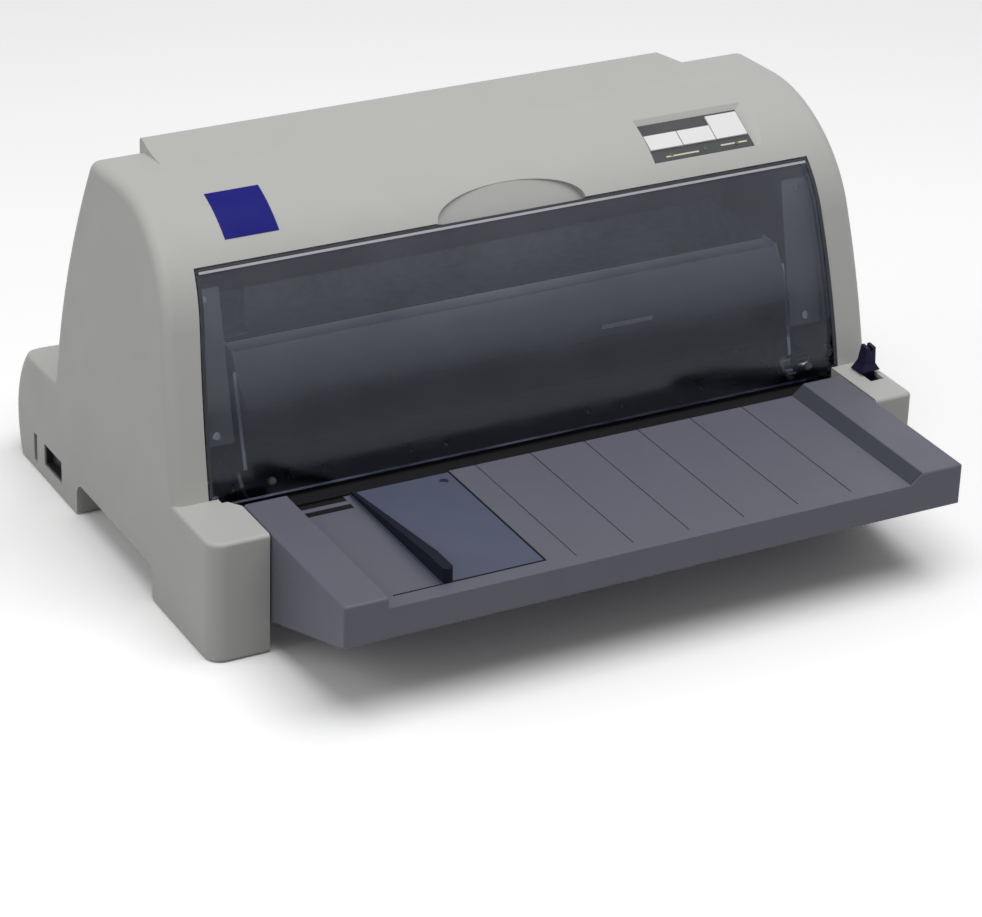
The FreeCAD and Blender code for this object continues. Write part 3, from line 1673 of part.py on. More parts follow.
def make_feed_rollers():
    z = paper_z - feed_roller_radius
    rollers = []
    for x in feed_roller_places():
        reach = feed_roller_width / 2
        tyre = rod_x(x - reach, x + reach, feed_roller_y, z, feed_roller_radius)
        bore = rod_x(x - machine_width, x + machine_width, feed_roller_y, z,
                     feed_shaft_radius + press_gap)
        rollers.append(tyre.cut(bore))
    return rollers


def make_tractor_shaft(phases):
    half = tractor_shaft_side / 2
    end = frame_x - 2 * sheet
    bar = block(-end, end, tractor_y - half, tractor_y + half, tractor_z - half, tractor_z + half)
    journal = rod_x(-frame_x - frame_thick - gear_stand_off, gear_far_x, tractor_y, tractor_z,
                    tractor_journal_radius)
    wheel = placed_gear(tractor_teeth, phases["tractor"], (tractor_y, tractor_z), 0)
    return joined([bar, journal, wheel])


def make_pinion(phases):
    y, z = pinion_spot()
    wheel = placed_gear(pinion_teeth, phases["pinion"], (y, z), 0)
    end = gear_far_x + feed_motor_stand + feed_motor_length / 2
    shaft = rod_x(gear_near_x, end, y, z, motor_shaft_radius)
    return joined([wheel, shaft])


def make_tractor(x):
    """One tractor housing: a slotted body on two shafts, with ears for its lid."""
    outward = 1 if x > 0 else -1
    body = block(x - tractor_half, x + tractor_half, tractor_front_y, tractor_back_y,
                 tractor_low_z, tractor_top_z)
    slot_half = sprocket_width / 2 + move_gap
    slot_radius = sprocket_radius + sprocket_pin_height + move_gap
    pin_x = x + outward * (tractor_half - lid_knuckle_radius)
    pin_z = lid_low_z - move_gap
    ears = []
    for y in (tractor_front_y, tractor_back_y - lid_end_gap):
        ears.append(block(pin_x - lid_knuckle_radius, pin_x + lid_knuckle_radius, y,
                          y + lid_end_gap, tractor_top_z - move_gap, pin_z + lid_pin_radius * 2))
    pin = rod_y(pin_x, tractor_front_y, tractor_back_y, pin_z, lid_pin_radius)
    cutters = [rod_x(x - slot_half, x + slot_half, tractor_y, tractor_z, slot_radius),
               rod_x(x - machine_width, x + machine_width, tractor_y, tractor_z,
                     tractor_shaft_side * math.sqrt(0.5) + move_gap),
               rod_x(x - machine_width, x + machine_width, support_y, tractor_z,
                     support_radius + run_gap)]
    return joined([less(body, cutters)] + ears + [pin])


def make_tractor_lid(x):
    outward = 1 if x > 0 else -1
    pin_x = x + outward * (tractor_half - lid_knuckle_radius)
    pin_z = lid_low_z - move_gap
    y0 = tractor_front_y + lid_end_gap + move_gap
    y1 = tractor_back_y - lid_end_gap - move_gap
    low = lid_low_z - lid_pin_radius
    edge = x - outward * tractor_half
    plate = block(min(edge, pin_x), max(edge, pin_x), y0, y1, low + lid_pin_radius,
                  low + lid_pin_radius + lid_thick)
    knuckle = rod_y(pin_x, y0, y1, pin_z, lid_knuckle_radius)
    slot = block(x - sprocket_pin_radius - move_gap, x + sprocket_pin_radius + move_gap,
                 y0 + lid_end_gap, y1 - lid_end_gap, lid_low_z - overrun, lid_low_z + overrun)
    hole = rod_y(pin_x, y0 - overrun, y1 + overrun, pin_z, lid_pin_radius + run_gap)
    return less(joined([plate, knuckle]), [slot, hole])


def make_sprocket(x):
    half = sprocket_width / 2
    wheel = rod_x(x - half, x + half, tractor_y, tractor_z, sprocket_radius)
    pins = []
    for n in range(sprocket_pins):
        turn = math.radians(360 * n / sprocket_pins)
        outward = Vector(0, math.cos(turn), math.sin(turn))
        base = Vector(x, tractor_y, tractor_z) + outward * (sprocket_radius - wall / 2)
        pins.append(Part.makeCone(sprocket_pin_radius, sprocket_pin_radius / 2,
                                  sprocket_pin_height + wall / 2, base, outward))
    side = tractor_shaft_side / 2 + move_gap / 2
    hole = block(x - machine_width, x + machine_width, tractor_y - side, tractor_y + side,
                 tractor_z - side, tractor_z + side)
    return joined([wheel] + pins).cut(hole)


# Carriage, head and ribbon

def make_carriage():
    """Carriage: a plate with a well for the head, a bearing, a front shoe and a belt clamp."""
    x0 = rest_x - carriage_half
    x1 = rest_x + carriage_half
    low = carriage_top_z - carriage_plate
    plate = block(x0, x1, rail_front_y, guide_y, low, carriage_top_z)
    shoe = block(x0 + wall, x1 - wall, rail_front_y, rail_back_y - wall / 2,
                 rail_top_z + move_gap, low + press_gap)
    bearing = rod_x(x0, x1, guide_y, guide_z, bearing_half)
    half = belt_height / 2
    strand_y = belt_y - belt_inner_radius - belt_thick / 2
    reach = belt_thick / 2 + move_gap
    clamp = block(rest_x - clamp_half, rest_x + clamp_half, guide_y, strand_y + reach + clamp_wall,
                  guide_z + guide_radius, belt_z + half + move_gap + clamp_wall)
    slot = block(x0, x1, strand_y - reach, strand_y + reach, belt_z - half - move_gap,
                 belt_z + half + move_gap)
    inside = belt_y - pulley_flange_radius
    head_room = block(rest_x - head_half - head_gap, rest_x + head_half + head_gap,
                      head_front_y - head_gap, head_back_y + head_gap, low - overrun,
                      carriage_top_z + overrun)
    bore = rod_x(x0 - overrun, x1 + overrun, guide_y, guide_z, guide_radius + run_gap)
    belly = block(x0 - overrun, x1 + overrun, inside - belt_thick, inside + machine_depth,
                  0, belt_z - half - clamp_wall - move_gap)
    body = joined([plate, shoe, bearing, clamp])
    return less(body, [slot, head_room, bore, belly])


def make_print_head():
    middle_y = (head_front_y + head_back_y) / 2
    body = block(rest_x - head_half, rest_x + head_half, head_front_y, head_back_y, head_low_z,
                 head_high_z)
    flange = block(rest_x - head_half - 2 * wall, rest_x + head_half + 2 * wall, head_front_y,
                   head_back_y, carriage_top_z, carriage_top_z + head_flange)
    nose_low = paper_z + ribbon_gap + ribbon_thick + move_gap
    nose = block(rest_x - nose_half, rest_x + nose_half, middle_y - nose_depth / 2,
                 middle_y + nose_depth / 2, nose_low, head_low_z + press_gap)
    fins = []
    pitch = (2 * head_half - fin_thick) / (fin_count - 1)
    for n in range(fin_count):
        x = rest_x - head_half + n * pitch
        fins.append(block(x, x + fin_thick, head_front_y, head_back_y, head_high_z - press_gap,
                          head_high_z + fin_height))
    return joined([body, flange, nose] + fins)


def ribbon_middle_y():
    return (head_front_y + head_back_y) / 2


def make_cartridge():
    high = cartridge_low_z + cartridge_height
    body = block(-cartridge_half, cartridge_half, cartridge_front_y, cartridge_back_y,
                 cartridge_low_z, high)
    upper = [e for e in body.Edges if e.BoundBox.ZMin > high - press_gap]
    body = body.makeFillet(wall, upper)
    middle = ribbon_middle_y()
    arm_back = middle + ribbon_width / 2
    arm_front = middle - ribbon_width / 2
    ribbon_z = paper_z + ribbon_gap + ribbon_thick
    pieces = [body]
    for side in (-1, 1):
        x0, x1 = sorted((side * cartridge_half, side * (cartridge_half - cartridge_arm_width)))
        pieces.append(block(x0, x1, cartridge_back_y - wall, arm_back, cartridge_low_z,
                            cartridge_low_z + cartridge_arm_height))
        pieces.append(block(x0, x1, arm_front, arm_back, ribbon_z,
                            cartridge_low_z + cartridge_arm_height))
        x0, x1 = sorted((side * (cartridge_half - wall), side * frame_x))
        pieces.append(block(x0, x1, cartridge_front_y + cartridge_lug,
                            cartridge_back_y - cartridge_lug, cartridge_low_z,
                            cartridge_low_z + cartridge_lug))
    middle_y = (cartridge_front_y + cartridge_back_y) / 2
    pieces.append(rod_z(cartridge_half - 2 * ribbon_knob_radius, middle_y, high - press_gap,
                        high + ribbon_knob_height, ribbon_knob_radius))
    return joined(pieces)


def make_ribbon():
    middle = ribbon_middle_y()
    low = paper_z + ribbon_gap
    return block(-cartridge_half + wall, cartridge_half - wall, middle - ribbon_width / 2,
                 middle + ribbon_width / 2, low, low + ribbon_thick)


# Lever and switch

def make_lever():
    """Release lever: boss, stem through the tower's top, flared finger piece with a notch."""
    boss_half = lever_slot_half + wall
    boss = rod_x(lever_x - boss_half / 2, lever_x + boss_half / 2, lever_pivot_y, lever_pivot_z,
                 lever_boss_radius)
    stem = block(lever_x - lever_stem_half, lever_x + lever_stem_half,
                 lever_pivot_y - lever_stem_half, lever_pivot_y + lever_stem_half, lever_pivot_z,
                 tower_top_z + overrun)
    lean = math.radians(lever_lean + lever_swing)
    low = lever_pivot_z + (tower_top_z + lever_clear - lever_pivot_z) / math.cos(lean)
    wide = lever_stem_half + lever_flare
    tilt = math.tan(lean)
    def ring(half_x, half_y, z, tilt):
        points = [Vector(lever_x - half_x, lever_pivot_y - half_y, z + half_y * tilt),
                  Vector(lever_x + half_x, lever_pivot_y - half_y, z + half_y * tilt),
                  Vector(lever_x + half_x, lever_pivot_y + half_y, z - half_y * tilt),
                  Vector(lever_x - half_x, lever_pivot_y + half_y, z - half_y * tilt)]
        return Part.makePolygon(points + [points[0]])
    middle = low + lever_waist
    foot = Part.makeLoft([ring(wide, wide, low, tilt),
                          ring(lever_stem_half, lever_stem_half, middle, 0)], True, True)
    finger = Part.makeLoft([ring(lever_stem_half, lever_stem_half, middle, 0),
                            ring(lever_tip_half, lever_tip_half, lever_top_z, 0)], True, True)
    notch = block(lever_x - lever_notch / 2, lever_x + lever_notch / 2,
                  lever_pivot_y - 2 * wide, lever_pivot_y + 2 * wide,
                  lever_top_z - lever_notch_depth, lever_top_z + overrun)
    hole = rod_x(lever_x - 2 * boss_half, lever_x + 2 * boss_half, lever_pivot_y, lever_pivot_z,
                 lever_pin_radius + run_gap)
    lever = less(joined([boss, stem, foot, finger]), [notch, hole])
    lever.rotate(Vector(0, lever_pivot_y, lever_pivot_z), Vector(1, 0, 0), lever_lean)
    return lever


def switch_outline(grown):
    return (switch_front_y + press_gap - grown, switch_back_y - press_gap + grown,
            switch_low_z + press_gap - grown, switch_high_z - press_gap + grown)


def make_switch_housing():
    y0, y1, z0, z1 = switch_outline(0)
    near = -half_width + switch_inset
    body = block(near, near + switch_depth, y0, y1, z0, z1)
    y2, y3, z2, z3 = switch_outline(-switch_wall)
    room = block(near - overrun, near + switch_depth - switch_wall, y2, y3, z2, z3)
    y4, y5, z4, z5 = switch_outline(switch_wall)
    rim = block(-half_width + wall, -half_width + wall + switch_wall, y4, y5, z4, z5)
    pivot_x = near + rocker_pivot_inset
    pin = rod_z(pivot_x, (y0 + y1) / 2, z0, z1, rocker_pin_radius)
    return joined([joined([body, rim]).cut(room), pin])


def make_rocker():
    y2, y3, z2, z3 = switch_outline(-switch_wall - move_gap)
    near = -half_width + switch_inset
    pivot_x = near + rocker_pivot_inset
    middle = (y2 + y3) / 2
    reach = (y3 - y2) / 2 - move_gap
    dip = near + 2 * wall
    tip = near + wall
    points = [(tip, middle - reach), (dip, middle), (tip, middle + reach),
              (pivot_x, middle + reach), (pivot_x + wall, middle), (pivot_x, middle - reach)]
    rocker = prism_z(points, z2, z3)
    rocker = rocker.cut(rod_z(pivot_x, middle, z2 - overrun, z3 + overrun,
                              rocker_pin_radius + run_gap))
    rocker.rotate(Vector(pivot_x, middle, 0), Vector(0, 0, 1), -rocker_tilt)
    return rocker


# Sockets and boards

def port_body(x, width, height, depth):
    return block(x - width / 2, x + width / 2, port_floor_y - depth, port_floor_y + port_proud,
                 port_z - height / 2, port_z + height / 2)


def make_inlet():
    body = port_body(inlet_x, inlet_width, inlet_height, port_body_depth)
    far = port_floor_y + port_proud
    room = block(inlet_x - inlet_width / 2 + port_shell * 2, inlet_x + inlet_width / 2 - port_shell * 2,
                 port_floor_y - port_body_depth + 2 * port_shell, far + overrun,
                 port_z - inlet_height / 2 + port_shell * 2, port_z + inlet_height / 2 - port_shell * 2)
    blades = []
    for dx, dz in ((-blade_spread, -port_shell), (0, port_shell), (blade_spread, -port_shell)):
        blades.append(block(inlet_x + dx - blade_width / 2, inlet_x + dx + blade_width / 2,
                            port_floor_y - port_body_depth + port_shell, far - port_proud / 2,
                            port_z + dz - blade_height / 2, port_z + dz + blade_height / 2))
    return joined([body.cut(room)] + blades)


def make_parallel():
    body = port_body(parallel_x, parallel_width, parallel_height, port_body_depth)
    far = port_floor_y + port_proud
    half = parallel_width / 2 - 2 * port_shell
    slant = parallel_height / 4
    low = port_z - parallel_height / 2 + port_shell
    high = port_z + parallel_height / 2 - port_shell
    room = prism_y([(parallel_x - half + slant, low), (parallel_x + half - slant, low),
                    (parallel_x + half, high), (parallel_x - half, high)],
                   port_floor_y - port_body_depth / 2, far + overrun)
    tongue = block(parallel_x - half + 2 * slant, parallel_x + half - 2 * slant,
                   port_floor_y - port_body_depth / 2 - port_shell, far - port_proud / 2,
                   port_z - tongue_height / 2, port_z + tongue_height / 2)
    return joined([body.cut(room), tongue])


def make_usb():
    body = port_body(usb_x, usb_width, usb_height, port_body_depth)
    far = port_floor_y + port_proud
    room = block(usb_x - usb_width / 2 + port_shell, usb_x + usb_width / 2 - port_shell,
                 port_floor_y - port_body_depth / 2, far + overrun,
                 port_z - usb_height / 2 + port_shell, port_z + usb_height / 2 - port_shell)
    tongue = block(usb_x - tongue_height, usb_x + tongue_height,
                   port_floor_y - port_body_depth / 2 - port_shell, far - port_proud / 2,
                   port_z - tongue_height / 2, port_z + tongue_height / 2)
    return joined([body.cut(room), tongue])


def make_main_board():
    top = board_low_z + board_thick
    board = block(board_middle_x, board_middle_x + main_board_width, board_front_y,
                  board_front_y + board_depth, board_low_z, top)
    chips = []
    chip_pitch = (main_board_width - 2 * board_inset) / chip_count
    for n in range(chip_count):
        x = board_middle_x + board_inset + n * chip_pitch + chip_side / 4
        chips.append(block(x, x + chip_side, board_front_y + chip_side / 2,
                           board_front_y + chip_side * 1.5, top - press_gap, top + chip_height))
    stands = []
    for x, width in ((parallel_x, parallel_width), (usb_x, usb_width)):
        y1 = port_floor_y - port_body_depth
        height = parallel_height if x == parallel_x else usb_height
        stands.append(block(x - width / 2, x + width / 2, y1 - chip_side / 2, y1,
                            top - press_gap, port_z + height / 4))
    return joined([board] + chips + stands)


def make_power_supply():
    top = board_low_z + board_thick
    board = block(supply_left_x, supply_left_x + supply_width, board_front_y,
                  board_front_y + board_depth, board_low_z, top)
    x0 = supply_left_x + supply_width - board_inset - transformer_width
    y0 = board_front_y + board_inset * 2
    core = block(x0, x0 + transformer_width, y0, y0 + transformer_depth, top - press_gap,
                 top + transformer_height)
    caps = []
    for n in range(2):
        x = supply_left_x + board_inset + capacitor_radius * (2 + 3 * n)
        caps.append(rod_z(x, board_front_y + board_inset + capacitor_radius, top - press_gap,
                          top + capacitor_height, capacitor_radius))
    reach = port_floor_y - port_body_depth
    bracket = block(inlet_x - inlet_width / 2, inlet_x + inlet_width / 2, reach - wall, reach,
                    top - press_gap, port_z)
    return joined([board, core, bracket] + caps)


def main():
    os.makedirs("parts", exist_ok=True)
    shell = case_shell()
    phases = gear_phases()
    housing = joined([make_upper_housing(shell)] + pin_cheeks())
    save("upper_housing", less(housing, make_hinge_pins(press_gap)[:4]))
    save("lower_case", make_lower_case(shell))
    save("rubber_feet", make_feet())
    save("case_screws", make_screws())
    save("front_cover", make_front_cover())
    save("rear_cover", make_rear_cover())
    save("hinge_pins", make_hinge_pins(0))
    save("badge_plate", make_badge())
    save("panel_overlay", make_overlay())
    save("indicator_lenses", make_lenses())
    save("control_board", make_control_board())
    for name, spot in zip(("pause_button", "feed_button", "load_button"), button_spots()):
        save(name, make_button(spot))
    save("paper_tray", make_tray())
    save("edge_guide_plate", make_guide_plate())
    save("edge_guide_fence", make_guide_fence())
    save("side_frame_left", side_frame(False))
    save("side_frame_right", side_frame(True))
    save("shaft_bushes", make_bushes())
    save("front_rail", make_front_rail())
    save("rear_beam", make_rear_beam())
    save("guide_shaft", make_guide_shaft())
    save("paper_entry_plate", make_entry_plate())
    save("inner_guard", make_inner_guard())
    save("rear_paper_guide", make_back_guide())
    save("tractor_support_shaft", make_support_shaft())
    save("timing_belt", make_belt())
    save("motor_pulley", make_motor_pulley())
    save("idler_pulley", make_idler_pulley())
    save("carriage_motor", make_carriage_motor())
    save("feed_motor", make_feed_motor())
    save("platen_roller", make_platen_roller())
    save("platen_shaft", make_platen_shaft())
    save("platen_knob", make_knob())
    save("platen_gear", placed_gear(platen_teeth, phases["platen"], (platen_y, platen_z),
                                    platen_shaft_radius + press_gap))
    save("feed_pinion", make_pinion(phases))
    save("front_idler_gear", placed_gear(front_idler_teeth, phases["front_idler"],
                                         front_idler_spot(), stud_radius + run_gap))
    save("tractor_idler_gear", placed_gear(tractor_idler_teeth, phases["tractor_idler"],
                                           tractor_idler_spot(), stud_radius + run_gap))
    save("front_feed_shaft", make_feed_shaft(phases))
    save("front_feed_rollers", make_feed_rollers())
    save("tractor_drive_shaft", make_tractor_shaft(phases))
    for name, x in zip(("left", "right"), tractor_places):
        save("tractor_" + name, make_tractor(x))
        save("tractor_lid_" + name, make_tractor_lid(x))
        save("sprocket_" + name, make_sprocket(x))
    save("carriage", make_carriage())
    save("print_head", make_print_head())
    save("ribbon_cartridge", make_cartridge())
    save("ink_ribbon", make_ribbon())
    save("release_lever", make_lever())
    save("switch_housing", make_switch_housing())
    save("power_rocker", make_rocker())
    save("ac_inlet", make_inlet())
    save("parallel_connector", make_parallel())
    save("usb_connector", make_usb())
    save("main_board", make_main_board())
    save("power_supply", make_power_supply())


main()
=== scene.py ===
# %% [markdown]
# # A flatbed dot matrix printer
#
# The printer comes from CAD as sixty separate parts: a pale grey housing, a smoked cover
# over the print area, a slate paper tray and the mechanism inside. This lesson gives each
# of them its finish and adds the small things that the solids leave out. The solids load
# as a frame that stays where it is, so each new piece is set down in the printer's own
# millimetres, against the solid that it belongs to.

import math

import bmesh
import bpy
from mathutils import Matrix, Vector


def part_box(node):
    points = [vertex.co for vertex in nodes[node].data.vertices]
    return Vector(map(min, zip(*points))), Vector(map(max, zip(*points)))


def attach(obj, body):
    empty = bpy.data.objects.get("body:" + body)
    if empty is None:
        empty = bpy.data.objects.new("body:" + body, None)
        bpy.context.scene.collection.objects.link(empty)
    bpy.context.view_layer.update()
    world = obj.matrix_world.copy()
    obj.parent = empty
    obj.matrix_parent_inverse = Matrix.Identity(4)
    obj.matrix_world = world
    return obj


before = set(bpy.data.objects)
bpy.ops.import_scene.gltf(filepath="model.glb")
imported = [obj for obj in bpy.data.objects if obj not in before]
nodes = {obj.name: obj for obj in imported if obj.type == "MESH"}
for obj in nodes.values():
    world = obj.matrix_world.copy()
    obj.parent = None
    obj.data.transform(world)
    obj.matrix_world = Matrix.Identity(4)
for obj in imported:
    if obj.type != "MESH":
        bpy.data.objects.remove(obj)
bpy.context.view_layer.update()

# %% [markdown]
# ## Camera
#
# The photograph is taken from the printer's front left corner, a little above it. A
# camera can be aimed with a Track To constraint, but the picture is also tilted a little
# to one side, so the camera's three axes are worked out from three angles instead. The
# lens is long, which keeps the printer's long edges almost parallel.

# %% Set the camera
view_turn = math.radians(-28.954)
view_height = math.radians(27.258)
view_tilt = math.radians(1.947)
view_place = Vector((-0.941366, -1.699445, 1.033801))
lens_length = 131.33
nearest_seen = 0.01

backward = Vector((math.sin(view_turn) * math.cos(view_height),
                   -math.cos(view_turn) * math.cos(view_height),
                   math.sin(view_height)))
level = Vector((math.cos(view_turn), math.sin(view_turn), 0))
upright = backward.cross(level)
right = level * math.cos(view_tilt) + upright * math.sin(view_tilt)
up = upright * math.cos(view_tilt) - level * math.sin(view_tilt)

camera_data = bpy.data.cameras.new("photo_view")
camera_data.lens = lens_length
camera_data.clip_start = nearest_seen
camera = bpy.data.objects.new("photo_view", camera_data)
camera.matrix_world = Matrix.Translation(view_place) @ Matrix(
    (right, up, backward)).transposed().to_4x4()
bpy.context.scene.collection.objects.link(camera)
bpy.context.scene.camera = camera

# %% [markdown]
# ## Shader maths
#
# A finish is a tree of nodes, and a long tree is hard to read as links. Here a small class
# wraps one output socket and overloads the operators, so that a line such as
# `1 - mask * 0.3` adds the Math nodes by itself. Every other node comes from one method,
# which takes the node's type, its settings and what goes into its sockets.

# %% Values and finishes
class Value:
    """One output socket in a finish. Sums on it add Math nodes."""

    def __init__(self, finish, socket):
        self.finish = finish
        self.socket = socket

    def maths(self, operation, first, second):
        settings = {"operation": operation}
        return self.finish.node("ShaderNodeMath", settings, {0: first, 1: second})

    def __add__(self, other):
        return self.maths("ADD", self, other)

    def __sub__(self, other):
        return self.maths("SUBTRACT", self, other)

    def __rsub__(self, other):
        return self.maths("SUBTRACT", other, self)

    def __mul__(self, other):
        return self.maths("MULTIPLY", self, other)

    def __gt__(self, other):
        return self.maths("GREATER_THAN", self, other)

    __radd__ = __add__
    __rmul__ = __mul__


class Finish:
    """A material, and the one method that makes its nodes."""

    def __init__(self, name):
        self.material = bpy.data.materials.new(name)
        self.material.use_nodes = True
        self.tree = self.material.node_tree
        self.tree.nodes.clear()

    def node(self, kind, settings=None, sockets=None, output=0):
        made = self.tree.nodes.new(kind)
        for setting, value in (settings or {}).items():
            setattr(made, setting, value)
        for key, value in (sockets or {}).items():
            if isinstance(value, Value):
                self.tree.links.new(value.socket, made.inputs[key])
            else:
                made.inputs[key].default_value = value
        return Value(self, made.outputs[output])

    def show(self, shader):
        surface = self.tree.nodes.new("ShaderNodeOutputMaterial").inputs["Surface"]
        self.tree.links.new(shader.socket, surface)
        return self


def shade(red, green, blue):
    """A screen colour, 0 to 255, as the linear colour that a shader wants."""
    linear = [((value / 255 + 0.055) / 1.055) ** 2.4 for value in (red, green, blue)]
    return (*linear, 1.0)


print("housing grey in linear light:", [round(part, 3) for part in shade(188, 188, 185)])

# %% [markdown]
# ## Patterns that the finishes share
#
# Real mouldings are never one flat colour. Their surface is etched with a fine grain,
# the colour drifts a little over a hand's breadth, and handling leaves dull patches and
# hairlines. Pictures could be painted for all of it, but noise needs no unwrapping. It is
# read from Object coordinates, because every piece keeps its place in its mesh, and then
# the pattern runs on from one piece to the next.

# %% Noise, mixing and bumps
hairline_squeeze = 60


def place_on(finish):
    return finish.node("ShaderNodeTexCoord", output="Object")


def noise(finish, scale, detail=2.0, where=None):
    sockets = {"Vector": where or place_on(finish), "Scale": scale, "Detail": detail}
    return finish.node("ShaderNodeTexNoise", sockets=sockets, output="Fac")


def stretched(finish, turn, stretch):
    sockets = {"Vector": place_on(finish), "Rotation": turn, "Scale": stretch}
    return finish.node("ShaderNodeMapping", sockets=sockets)


def mixed(finish, factor, first, second):
    settings = {"data_type": "RGBA"}
    return finish.node("ShaderNodeMix", settings, {0: factor, 6: first, 7: second}, output=2)


def bumped(finish, height, strength, distance):
    sockets = {"Height": height, "Strength": strength, "Distance": distance}
    return finish.node("ShaderNodeBump", sockets=sockets, output="Normal")


def softened(finish, value, low, high):
    """The value pulled out to 0 below low and 1 above high."""
    sockets = {"Value": value, "From Min": low, "From Max": high}
    return finish.node("ShaderNodeMapRange", sockets=sockets)


def hairlines(finish, scale, turn):
    """Thin scattered scratches: the peaks of a noise squeezed across one line."""
    drawn = stretched(finish, (0, 0, turn), (1, hairline_squeeze, 1))
    line = noise(finish, scale, detail=3.0, where=drawn)
    return softened(finish, line, low=0.66, high=0.72)


print("a hairline is", hairline_squeeze, "times as long as it is wide")

# %% [markdown]
# ## Moulded plastic
#
# Housing, tray, levers, keys and gears are all injection moulded, and differ only in
# colour, grain and gloss, so one function makes them all from a table. The grain is a
# bump whose bumps are about 0.4 mm across, the drift and the dull patches are two slow
# noises, and the hairlines blend in the paler tone of rubbed plastic.

# %% Moulded plastic
drift_scale, drift_share = 11.0, 0.22
patch_scale, patch_gloss = 42.0, 0.16
hairline_scale, hairline_turn, hairline_share = 5.0, 0.6, 0.16
grain_strength, grain_depth = 0.35, 0.00006


def moulded(name, colour, worn, rough, grain=2600.0, shine=0.5):
    finish = Finish(name)
    drift = noise(finish, drift_scale, detail=3.0)
    patches = noise(finish, patch_scale, detail=4.0)
    lines = hairlines(finish, hairline_scale, hairline_turn) * patches
    drifted = softened(finish, drift, low=0.3, high=0.7) * drift_share
    tone = mixed(finish, drifted, shade(*colour), shade(*worn))
    tone = mixed(finish, lines * hairline_share, tone, shade(*worn))
    fine = noise(finish, grain)
    dulled = softened(finish, patches, low=0.2, high=0.8) * patch_gloss
    shader = finish.node("ShaderNodeBsdfPrincipled", sockets={
        "Base Color": tone,
        "Roughness": dulled - patch_gloss / 2 + rough,
        "Specular IOR Level": shine,
        "Normal": bumped(finish, fine, grain_strength, grain_depth)})
    return finish.show(shader)


# Each line gives a name, the colour, the worn colour, the roughness and what differs.
mouldings = (
    ("housing_grey", (188, 188, 185), (196, 196, 193), 0.55, {}),
    ("tray_grey", (94, 95, 107), (104, 105, 117), 0.55, {}),
    ("guide_blue", (75, 81, 102), (84, 90, 111), 0.5, {}),
    ("fence_navy", (17, 20, 33), (27, 30, 44), 0.65, {"shine": 0.15}),
    ("lever_navy", (16, 16, 50), (24, 24, 58), 0.6, {"shine": 0.2}),
    ("black_plastic", (34, 35, 38), (58, 59, 62), 0.42, {}),
    ("gear_white", (206, 203, 192), (190, 186, 172), 0.4, {"grain": 1800.0}),
    ("key_white", (242, 243, 242), (230, 231, 230), 0.38, {}),
    ("panel_dark", (46, 48, 50), (58, 60, 62), 0.5, {}),
    ("badge_blue", (22, 22, 122), (30, 30, 128), 0.7, {"shine": 0.2}),
    ("lens_green", (64, 92, 60), (84, 120, 78), 0.2, {}),
    # painted shade: a flat black for slots, lines and the entry plate that lie in shadow
    ("painted_shade_black", (14, 14, 16), (22, 22, 25), 0.85, {"shine": 0.2}),
    # painted shade: the dark tone of the strip on the tray's slope
    ("painted_shade_slate", (54, 57, 66), (62, 65, 74), 0.7, {}),
    ("seal_grey", (44, 46, 50), (52, 54, 58), 0.7, {}),
    ("cream", (214, 208, 186), (200, 194, 172), 0.5, {}),
    # painted highlight: pale strips where edges catch the light
    ("guard_edge", (180, 182, 190), (168, 170, 178), 0.4, {}),
)
finishes = {name: moulded(name, colour, worn, rough, **differs)
            for name, colour, worn, rough, differs in mouldings}
print("moulded finishes:", len(finishes))

# %% [markdown]
# ## Rubber, cloth and paint
#
# The platen and the feet are rubber: dark, dull, with a ground surface. The ribbon is a
# woven tape soaked in ink, and two crossed waves give its threads. The boards are green
# lacquer over copper tracks. They hardly show, so a brick pattern with long low bricks,
# broken by a noise, is enough for the tracks.

# %% Rubber, ribbon and boards
def rubber(name):
    finish = Finish(name)
    along = stretched(finish, (0, 0, 0), (0.35, 1, 1))
    ground = noise(finish, scale=1400.0, detail=4.0, where=along)
    dust = noise(finish, scale=60.0, detail=5.0)
    dust_and_painted_sheen = softened(finish, dust, low=0.45, high=0.8) * 0.5
    shader = finish.node("ShaderNodeBsdfPrincipled", sockets={
        "Base Color": mixed(finish, dust_and_painted_sheen, shade(26, 26, 27), shade(62, 61, 59)),
        "Roughness": ground * 0.14 + 0.7,
        "Normal": bumped(finish, ground, strength=0.5, distance=0.00008)})
    return finish.show(shader)


def woven_ribbon(name):
    finish = Finish(name)
    threads = []
    for turn in (0.0, math.pi / 2):
        where = stretched(finish, (0, turn, 0), (1, 1, 1))
        sockets = {"Vector": where, "Scale": 620.0, "Distortion": 0.3}
        settings = {"bands_direction": "X"}
        threads.append(finish.node("ShaderNodeTexWave", settings, sockets, output="Fac"))
    weave = threads[0] * threads[1]
    shader = finish.node("ShaderNodeBsdfPrincipled", sockets={
        "Base Color": mixed(finish, weave, shade(16, 16, 20), shade(52, 50, 66)),
        "Roughness": weave * 0.2 + 0.6,
        "Normal": bumped(finish, weave, strength=0.6, distance=0.0001)})
    return finish.show(shader)


def lacquered_board(name):
    finish = Finish(name)
    sockets = {"Vector": place_on(finish), "Scale": 55.0, "Mortar Size": 0.035,
               "Brick Width": 0.9, "Row Height": 0.11}
    tracks = finish.node("ShaderNodeTexBrick", {"offset": 0.37}, sockets, output="Fac")
    broken = noise(finish, scale=130.0) > 0.46
    drift = noise(finish, scale=30.0)
    board = mixed(finish, drift, shade(28, 82, 52), shade(38, 98, 62))
    shader = finish.node("ShaderNodeBsdfPrincipled", sockets={
        "Base Color": mixed(finish, tracks * broken, board, shade(92, 140, 84)),
        "Roughness": drift * 0.1 + 0.3,
        "Normal": bumped(finish, tracks, strength=0.3, distance=0.00005)})
    return finish.show(shader)


finishes["rubber_black"] = rubber("rubber_black")
finishes["ribbon_fabric"] = woven_ribbon("ribbon_fabric")
finishes["board_green"] = lacquered_board("board_green")
print("finishes so far:", len(finishes))

